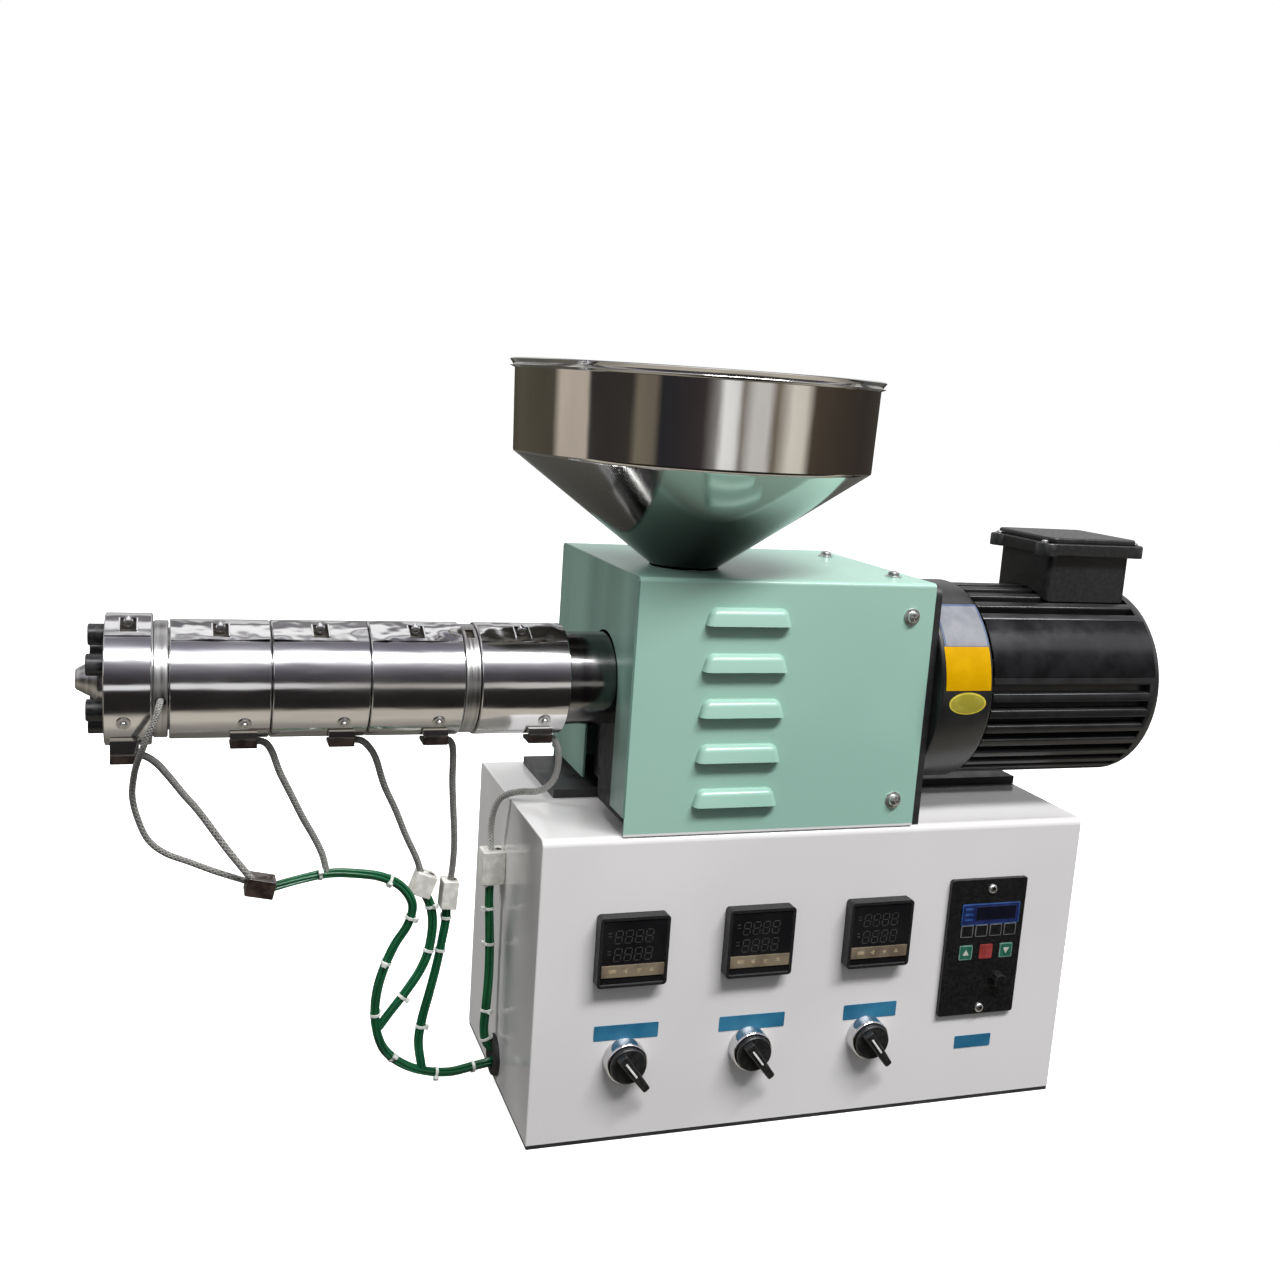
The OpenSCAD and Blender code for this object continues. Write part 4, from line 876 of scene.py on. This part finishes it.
# The band heaters are rolled from polished stainless sheet round the barrel and drawn tight by a clamp screw in a
# square window. The lapped sheet beside the window is dented, and a bracket below holds the terminal block.
heater_steel = finish("heater_steel", (0.62, 0.615, 0.625), (0.74, 0.735, 0.735), 42, (0.08, 0.17),
                      stretch=(0.22, 1, 1), bump=0.5, detail=3, Metallic=1.0)
block_brown = finish("block_brown", (0.012, 0.008, 0.007), (0.035, 0.022, 0.017), 200, (0.3, 0.5), bump=0.05)
dents = bpy.data.textures.new("dents", "CLOUDS")
dents.noise_scale = 0.016
clamp_turn = 25


def from_axis(p):
    return (p.yz - Vector((0, barrel_z))).length


def heater(name, x0, x1, r_in, r_out, dent):
    """A rolled heater with its lap strip and clamp window, all round the barrel's axis."""
    edge, middle, lap_r = 0.9, (x0 + x1) / 2, (r_out + 0.35) / 1000
    walk = [x0 + edge + (x1 - x0 - 2 * edge) * k / 22 for k in range(23)]
    ring = turned(name, [(x0, r_in), (x0, r_out - edge), (x0 + 0.3, r_out - 0.3), (x0 + 0.7, r_out)]
                  + [(x, r_out) for x in walk] + [(x1 - 0.7, r_out), (x1 - 0.3, r_out - 0.3), (x1, r_out - edge),
                                                  (x1, r_in), (x0, r_in)], sides=120)
    lap = started("lap", bpy.ops.mesh.primitive_grid_add, x_subdivisions=26, y_subdivisions=14, size=1)
    lap.scale = ((x1 - x0 - 1.4) / 1000, radians(33), 1)
    lap.location = (middle / 1000, radians(22.5), 0)
    bpy.ops.object.transform_apply()
    for corner in lap.data.vertices:
        x, turn, _ = corner.co
        corner.co = (x, -lap_r * sin(turn), barrel_z / 1000 + lap_r * cos(turn))
    applied(lap, "DISPLACE", texture=dents, texture_coords="LOCAL", strength=dent / 1000, mid_level=0.5)
    outward(applied(lap, "SOLIDIFY", thickness=0.0007, offset=0))
    well = block("clamp_well", (-4.5, -7, -3.6), (4.5, 7, 5))
    well.data.transform(on_barrel(middle, clamp_turn, r_out))
    cut(lap, copy_of(well, "lap_well", Matrix()))
    band = smooth(joined(name, [cut(ring, well), lap]))
    low = r_out - 0.9
    well_foot = on_barrel(0, clamp_turn, low - 2).translation.yz * 1000
    # The clamp window's inner faces are painted near-black as painted shade round the clamp screw.
    return paint(band, heater_steel, painted_recess_shade, lambda p, n: abs(p.x - middle) < 4.6 and from_axis(p) < low
                 and (p.yz - well_foot).length < 9)


clamp_screws, brackets, blocks, eyelets = [], [], [], []
band_length, block_at = 58, 42.92
heaters = [("band_heater_%d" % (k + 1), x, x + band_length, 31.2, 36.4, x + block_at, 0.0)
           for k, x in enumerate((-425.4, -366.8, -308.2, -239.8))]
heaters.append(("die_heater", -461.6, -435.0, 35.2, 39.8, -450.4, 5.0))
for name, x0, x1, r_in, r_out, block_x, drop in heaters:
    fit(heater(name + "_band", x0, x1, r_in, r_out, 0.6 if drop else 3.4), "heater_steel", None, name)
    shank = turned("clamp_screw", [(6.9, 1.7), (3.3, 1.7), (3.2, 3.1), (1.3, 3.1), (0.8, 2.7), (0.6, 0.8)], "Y",
                   (0, 0.0012), 28)
    cut(shank, rod(1.8, -1.0, 1.3, "Y", (0, 0.0012), 6))
    lips = [eased_edges(block("lip", (x, -6.6, -1.6), (x + 1.1, 6.6, 2.2)), 0.4) for x in (-5.5, 4.4)]
    for part in [shank] + lips:
        part.data.transform(on_barrel((x0 + x1) / 2, clamp_turn, r_out - 1.4))
    clamp_screws.append(shank)
    top = barrel_z - r_out + 3.4 - drop
    lug = block("bracket", (block_x - 8, -22, top), (block_x + 8, -6, top + 8 + drop))
    pick(lug, "EDGE", lambda p, n: abs(n.x) > 0.9 and p.z > top + 4 and p.y > -10)
    bpy.ops.transform.translate(value=(0, 0, -0.0055))
    brackets += lips + [eased_edges(lug, 0.5)]
    holder = block("terminal", (block_x - 8, -22, top - 6), (block_x + 8, -6, top - 0.1))
    pick(holder, "EDGE", lambda p, n: abs(n.x) > 0.9 and p.z > top - 1 and p.y > -10)
    bpy.ops.transform.translate(value=(0, 0, -0.0034 if not drop else 0))
    blocks.append(eased_edges(holder, 0.7, 3))
    loop = turned("eyelet", [(-0.2, 2.0), (-0.2, 4.1), (0.8, 4.1), (0.8, 2.0), (-0.2, 2.0)], "Z", (0, 0), 28)
    stud = turned("stud", [(-0.4, 1.9), (1.2, 1.9), (2.0, 1.5), (2.2, 0.6)], "Z", (0, 0), 24)
    for part in (loop, stud):
        part.data.transform(on_barrel(block_x, 118 if drop else 126, r_out))
    eyelets += [loop, stud]
fit(joined("clamp_screws", clamp_screws), "heater_steel", chrome)
fit(joined("terminal_brackets", brackets), "heater_steel", heater_steel)
fit(joined("terminal_eyelets", eyelets), "heater_steel", turned_steel)
fit(joined("terminal_blocks", blocks), "block_brown", block_brown, "heater_blocks")

# A plain strap of brushed steel closes the gap before the last heater, with its own clamp slot at the top front.
# It is rolled and clamped on as the heaters are.
strap = turned("strap_band", [(-249.6, 31.2), (-249.6, 34.8), (-249.2, 35.2), (-240.8, 35.2), (-240.4, 34.8),
                              (-240.4, 31.2), (-249.6, 31.2)], sides=120)
slit = block("slit", (-2.6, -4.5, -2.4), (2.6, 4.5, 4))
slit.data.transform(on_barrel(-245, 24, 35.2))
# The slot's inner faces are painted near-black as painted shade.
paint(smooth(cut(strap, slit)), turned_steel, painted_recess_shade, lambda p, n: abs(p.x + 245) < 2.7
      and 32 < from_axis(p) < 34.9 and p.y < -4 and p.z > 320)
fit(strap, "heater_steel", None, "barrel_strap")

# The die is a turned steel block held on the barrel's flange by six black socket-head bolts, and the nozzle is a
# turned cone screwed into its face.
die = turned("die_block", [(-461.8, 12.7), (-461.8, 34.2), (-461, 35), (-434.6, 35), (-434.6, 12.7),
                           (-461.8, 12.7)])
fit(die, "die_steel", turned_steel, "die_head")
tip = turned("nozzle_tip", [(-461.8, 1.5), (-461.8, 12.6), (-462.2, 13), (-465.6, 13), (-466.2, 12.6),
                            (-477.4, 6.5), (-478.2, 5.7), (-478.2, 1.5), (-461.8, 1.5)], sides=64)
fit(tip, "die_steel", turned_steel, "nozzle")
bolt_black = finish("bolt_black", (0.008, 0.008, 0.009), (0.03, 0.03, 0.032), 250, (0.3, 0.5), bump=0.04)
bolt = turned("bolt", [(-461.8, 4), (-461.8, 6.5), (-470.7, 6.5), (-471.3, 5.9), (-471.3, 4)], sides=40,
              centre=(0, 0))
smooth(cut(bolt, rod(-466.3, -473, 3.4, sides=6, centre=(0, 0))))
bolts = copies(bolt, [on_barrel(0, 60 * k, 27) for k in range(6)])
fit(joined("socket_bolts", bolts), "bolt_black", bolt_black, "die_bolts")

# The hopper is spun from polished stainless sheet: a straight wall with a rolled rim, and a cone that ends in the
# neck over the feed throat. The cone's colour darkens towards its neck: painted shade for the shaded gap it
# mirrors.
hopper_steel = finish("hopper_steel", (0.60, 0.59, 0.575), (0.68, 0.67, 0.655), 34, (0.05, 0.09),
                      stretch=(1, 1, 0.25), bump=0.16, detail=3, Metallic=1.0)
cone_steel = finish("cone_steel", (0.60, 0.60, 0.585), (0.68, 0.68, 0.665), 12, (0.07, 0.12), bump=0.2, detail=2,
                    Metallic=1.0)
# The cone's colour is multiplied by a painted shade that grows darker towards its neck, where it mirrors the shaded
# gap over the guard's top.
tree, link = cone_steel.node_tree, cone_steel.node_tree.links.new
rise, steep = node(tree, "VectorMath", "DOT_PRODUCT"), node(tree, "Math", "POWER")
upward, shade_from, shade_to, darkest_shade = (1.2, 0, 11), 4.10, 4.95, 0.15
rise.inputs[1].default_value, steep.inputs[1].default_value = upward, 2
share = node(tree, "MapRange", From_Min=shade_from, From_Max=shade_to)
painted_neck_shade = node(tree, "MapRange", To_Min=darkest_shade)
link(tree.nodes["Texture Coordinate"].outputs["Object"], rise.inputs[0])
link(rise.outputs["Value"], share.inputs["Value"])
link(share.outputs["Result"], steep.inputs[0])
link(steep.outputs[0], painted_neck_shade.inputs["Value"])
shaded_by(cone_steel, painted_neck_shade.outputs["Result"])
rim_z, rim_r, bead_r = 508.9, 121.4, 2.6
bead = [(rim_z + bead_r * sin(radians(a)), rim_r - bead_r * cos(radians(a))) for a in range(-130, 145, 22)]
bowl = turned("hopper_bowl", [(343, 20.8), (343, 22), (381.4, 22), (382.4, 22.6), (383.6, 24.2), (450.8, 116.2),
                              (451.6, 117.4), (452.2, 118.1), (453, 118.5), (454, 118.53), (480, 119.22),
                              (505, 119.89), (506.0, 119.9)] + bead[::-1]
              + [(505, 118.7), (504, 118.67), (454.2, 117.33), (453.2, 117.3), (452.6, 116.7), (451.4, 115),
                 (384, 23), (383, 21.6), (382, 20.8), (343, 20.8)], "Z", throat, 192)
paint(bowl, hopper_steel, cone_steel, lambda p, n: 382.5 < p.z < 452 and n.z < 0)
fit(bowl, "hopper_steel", None, "hopper")

# The gearbox is a plain round casting in black semi-gloss paint. Three bare stickers are on its front: a white one
# with a blue edge, an orange one below it and a small yellow oval.
motor_black = finish("motor_black", (0.013, 0.013, 0.0135), (0.019, 0.019, 0.020), 60, (0.29, 0.35))
gear = turned("gearbox_case", [(68, 30), (68, 70.7), (68.8, 71.5), (105, 71.5), (107.6, 70.4), (109, 68),
                               (109, 30)], sides=128)
fit(gear, "gearbox_black", motor_black, "gearbox")


def curved_sticker(name, x0, x1, a0, a1, r, oval=False):
    """A thin sheet laid on a round casing, from one angle in front of the top to another."""
    made = started(name, bpy.ops.mesh.primitive_grid_add, x_subdivisions=24, y_subdivisions=24, size=2)
    if oval:
        opened(made, lambda p, n: p.xy.length > 1000)
    for corner in made.data.vertices:
        u, v, _ = corner.co
        if oval and sqrt(u * u + v * v) > 0.93:
            u, v = Vector((u, v)).normalized()
        x, turn = (x0 + x1) / 2 + u * (x1 - x0) / 2, radians((a0 + a1) / 2 + v * (a1 - a0) / 2)
        corner.co = (x / 1000, -r / 1000 * sin(turn), barrel_z / 1000 + r / 1000 * cos(turn))
    return smooth(outward(applied(made, "SOLIDIFY", thickness=0.0002, offset=0)))


paper_white = finish("paper_white", (0.18, 0.185, 0.215), (0.225, 0.23, 0.26), 120, (0.4, 0.5), bump=0.03)
paper_blue = finish("paper_blue", (0.045, 0.075, 0.16), (0.075, 0.115, 0.22), 120, (0.4, 0.5))
paper_orange = finish("paper_orange", (0.56, 0.30, 0.0), (0.64, 0.36, 0.002), 60, (0.4, 0.5), bump=0.03,
                      Specular_IOR_Level=0.05)
paper_olive = finish("paper_olive", (0.34, 0.29, 0.03), (0.44, 0.38, 0.05), 120, (0.4, 0.5))
paper_yellow = finish("paper_yellow", (0.62, 0.52, 0.05), (0.72, 0.62, 0.07), 120, (0.4, 0.5))
for name, span, paper in (
        ("sticker_edge", (71.3, 106.2, 33, 61, 71.62), paper_blue),
        ("sticker_white", (72.6, 104.8, 34.6, 60.6, 71.76), paper_white),
        ("sticker_orange", (70.6, 105.6, 61, 85.2, 71.64), paper_orange),
        ("sticker_rim", (74.0, 102.6, 86.2, 98.6, 71.62, True), paper_yellow),
        ("sticker_oval", (75.4, 101.2, 87.1, 97.7, 71.76, True), paper_olive)):
    fit(curved_sticker(name, *span), "gearbox_black", paper)

# The motor's stator is cast with broad fins along it and closes in a rounded fan cowl with rings of vents in its
# end, all in the same black paint. A bare black nameplate lies over the upper front fins.
core = turned("stator_core", [(109, 30), (109, 63.4), (240, 63.4), (240, 30)], sides=128)
fin = rounded(block("fin", (109.4, -3.2, 62), (240.5, 3.2, 69.5)), 1.4, 3,
              lambda p, n: p.z > 69 and (abs(n.x) > 0.9 or p.x < 110))
smooth(fin)
fins = copies(fin, [on_barrel(0, 10 * k, 0) for k in range(36)])
fit(joined("stator_fins", [core] + fins), "motor_black", motor_black, "stator")
shoulder = [(241 + 12 * sin(radians(a)), 57.5 + 12 * cos(radians(a))) for a in range(0, 91, 10)]
cowl = turned("cowl_cap", [(239.2, 40), (239.2, 69.4)] + shoulder + [(253, 30), (252.2, 28), (252.2, 6)], sides=128)
vent = rounded_block("vent", (250.4, -1.8, 20), (256, 1.8, 30), "X", 1.6, 3)
vents = copies(vent, [on_barrel(0, 360 * k / count, out)
                      for out, count in ((-7, 12), (6, 20), (19, 30)) for k in range(count)])
smooth(cut(cowl, joined("vents", vents)))
# The floors of the vents are painted near-black as painted shade for the dark inside of the cowl.
paint(cowl, motor_black, painted_recess_shade, lambda p, n: 250.2 < p.x < 250.6 and n.x > 0.9)
fit(cowl, "motor_black", None, "fan_cowl")
nameplate_black = finish("nameplate_black", (0.004, 0.004, 0.004), (0.009, 0.009, 0.010), 60, (0.14, 0.22))
fit(curved_sticker("nameplate", 109.6, 243, 43, 78, 69.9), "motor_black", nameplate_black)

# The terminal box is a moulded box on top of the motor, seated on the fins, under a stepped lid with a lug and a
# screw at each corner.
box_black = finish("box_black", (0.012, 0.012, 0.013), (0.022, 0.022, 0.023), 350, (0.3, 0.42), bump=0.04)
lid_z = 409.5
box = rounded_block("terminal_housing", (168.5, -31.5, 362), (237.5, 31.5, 400.5), "Z", 5, 5)
smooth(cut(box, rod(150, 260, 69.7)))
fit(box, "box_black", box_black, "terminal_box")
lid = eased_edges(rounded_block("lid_skirt", (163.5, -38, 400.5), (242.5, 38, lid_z), "Z", 6, 5), 1.2, 3, 50)
crown = eased_edges(rounded_block("lid_crown", (166, -35.5, 409), (240, 35.5, 413.5), "Z", 6, 5), 1.6, 4, 50)
lugs = [turned("lug", [(400.5, 5), (400.5, 9), (408.3, 9), (409.2, 8.4), (lid_z, 7.4), (lid_z, 3)], "Z", spot, 40)
        for spot in ((0.168, -0.029), (0.168, 0.029), (0.238, -0.029), (0.238, 0.029))]
lid_screws = copies(screw_head("lid_screw", 2.4, False),
                    [shift(x, y, lid_z) @ spin(-90, "X") for x in (164.5, 241.5) for y in (-29, 29)])
fit(joined("terminal_cover", [lid, crown] + lugs), "box_black", box_black, "terminal_lid")
fit(joined("lid_screws", lid_screws), "bezel_chrome", zinc)

# The grommet is a black rubber ring in the cabinet's side, through which the looms go in. It is moulded in one
# piece and snapped into its hole.
rubber = finish("rubber", (0.010, 0.010, 0.010), (0.022, 0.022, 0.022), 300, (0.55, 0.75), bump=0.05)
lip = turned("grommet_lip", [(-199.5, 6), (-199.5, 12), (-202, 12), (-202, 15), (-203.4, 15), (-205.2, 14.2),
                             (-206, 12.4), (-206, 10.6), (-204.6, 9.2), (-203, 8.4), (-203, 3)], "X",
             (0.034, 0.02), 48)
fit(lip, "grommet_rubber", rubber, "grommet")
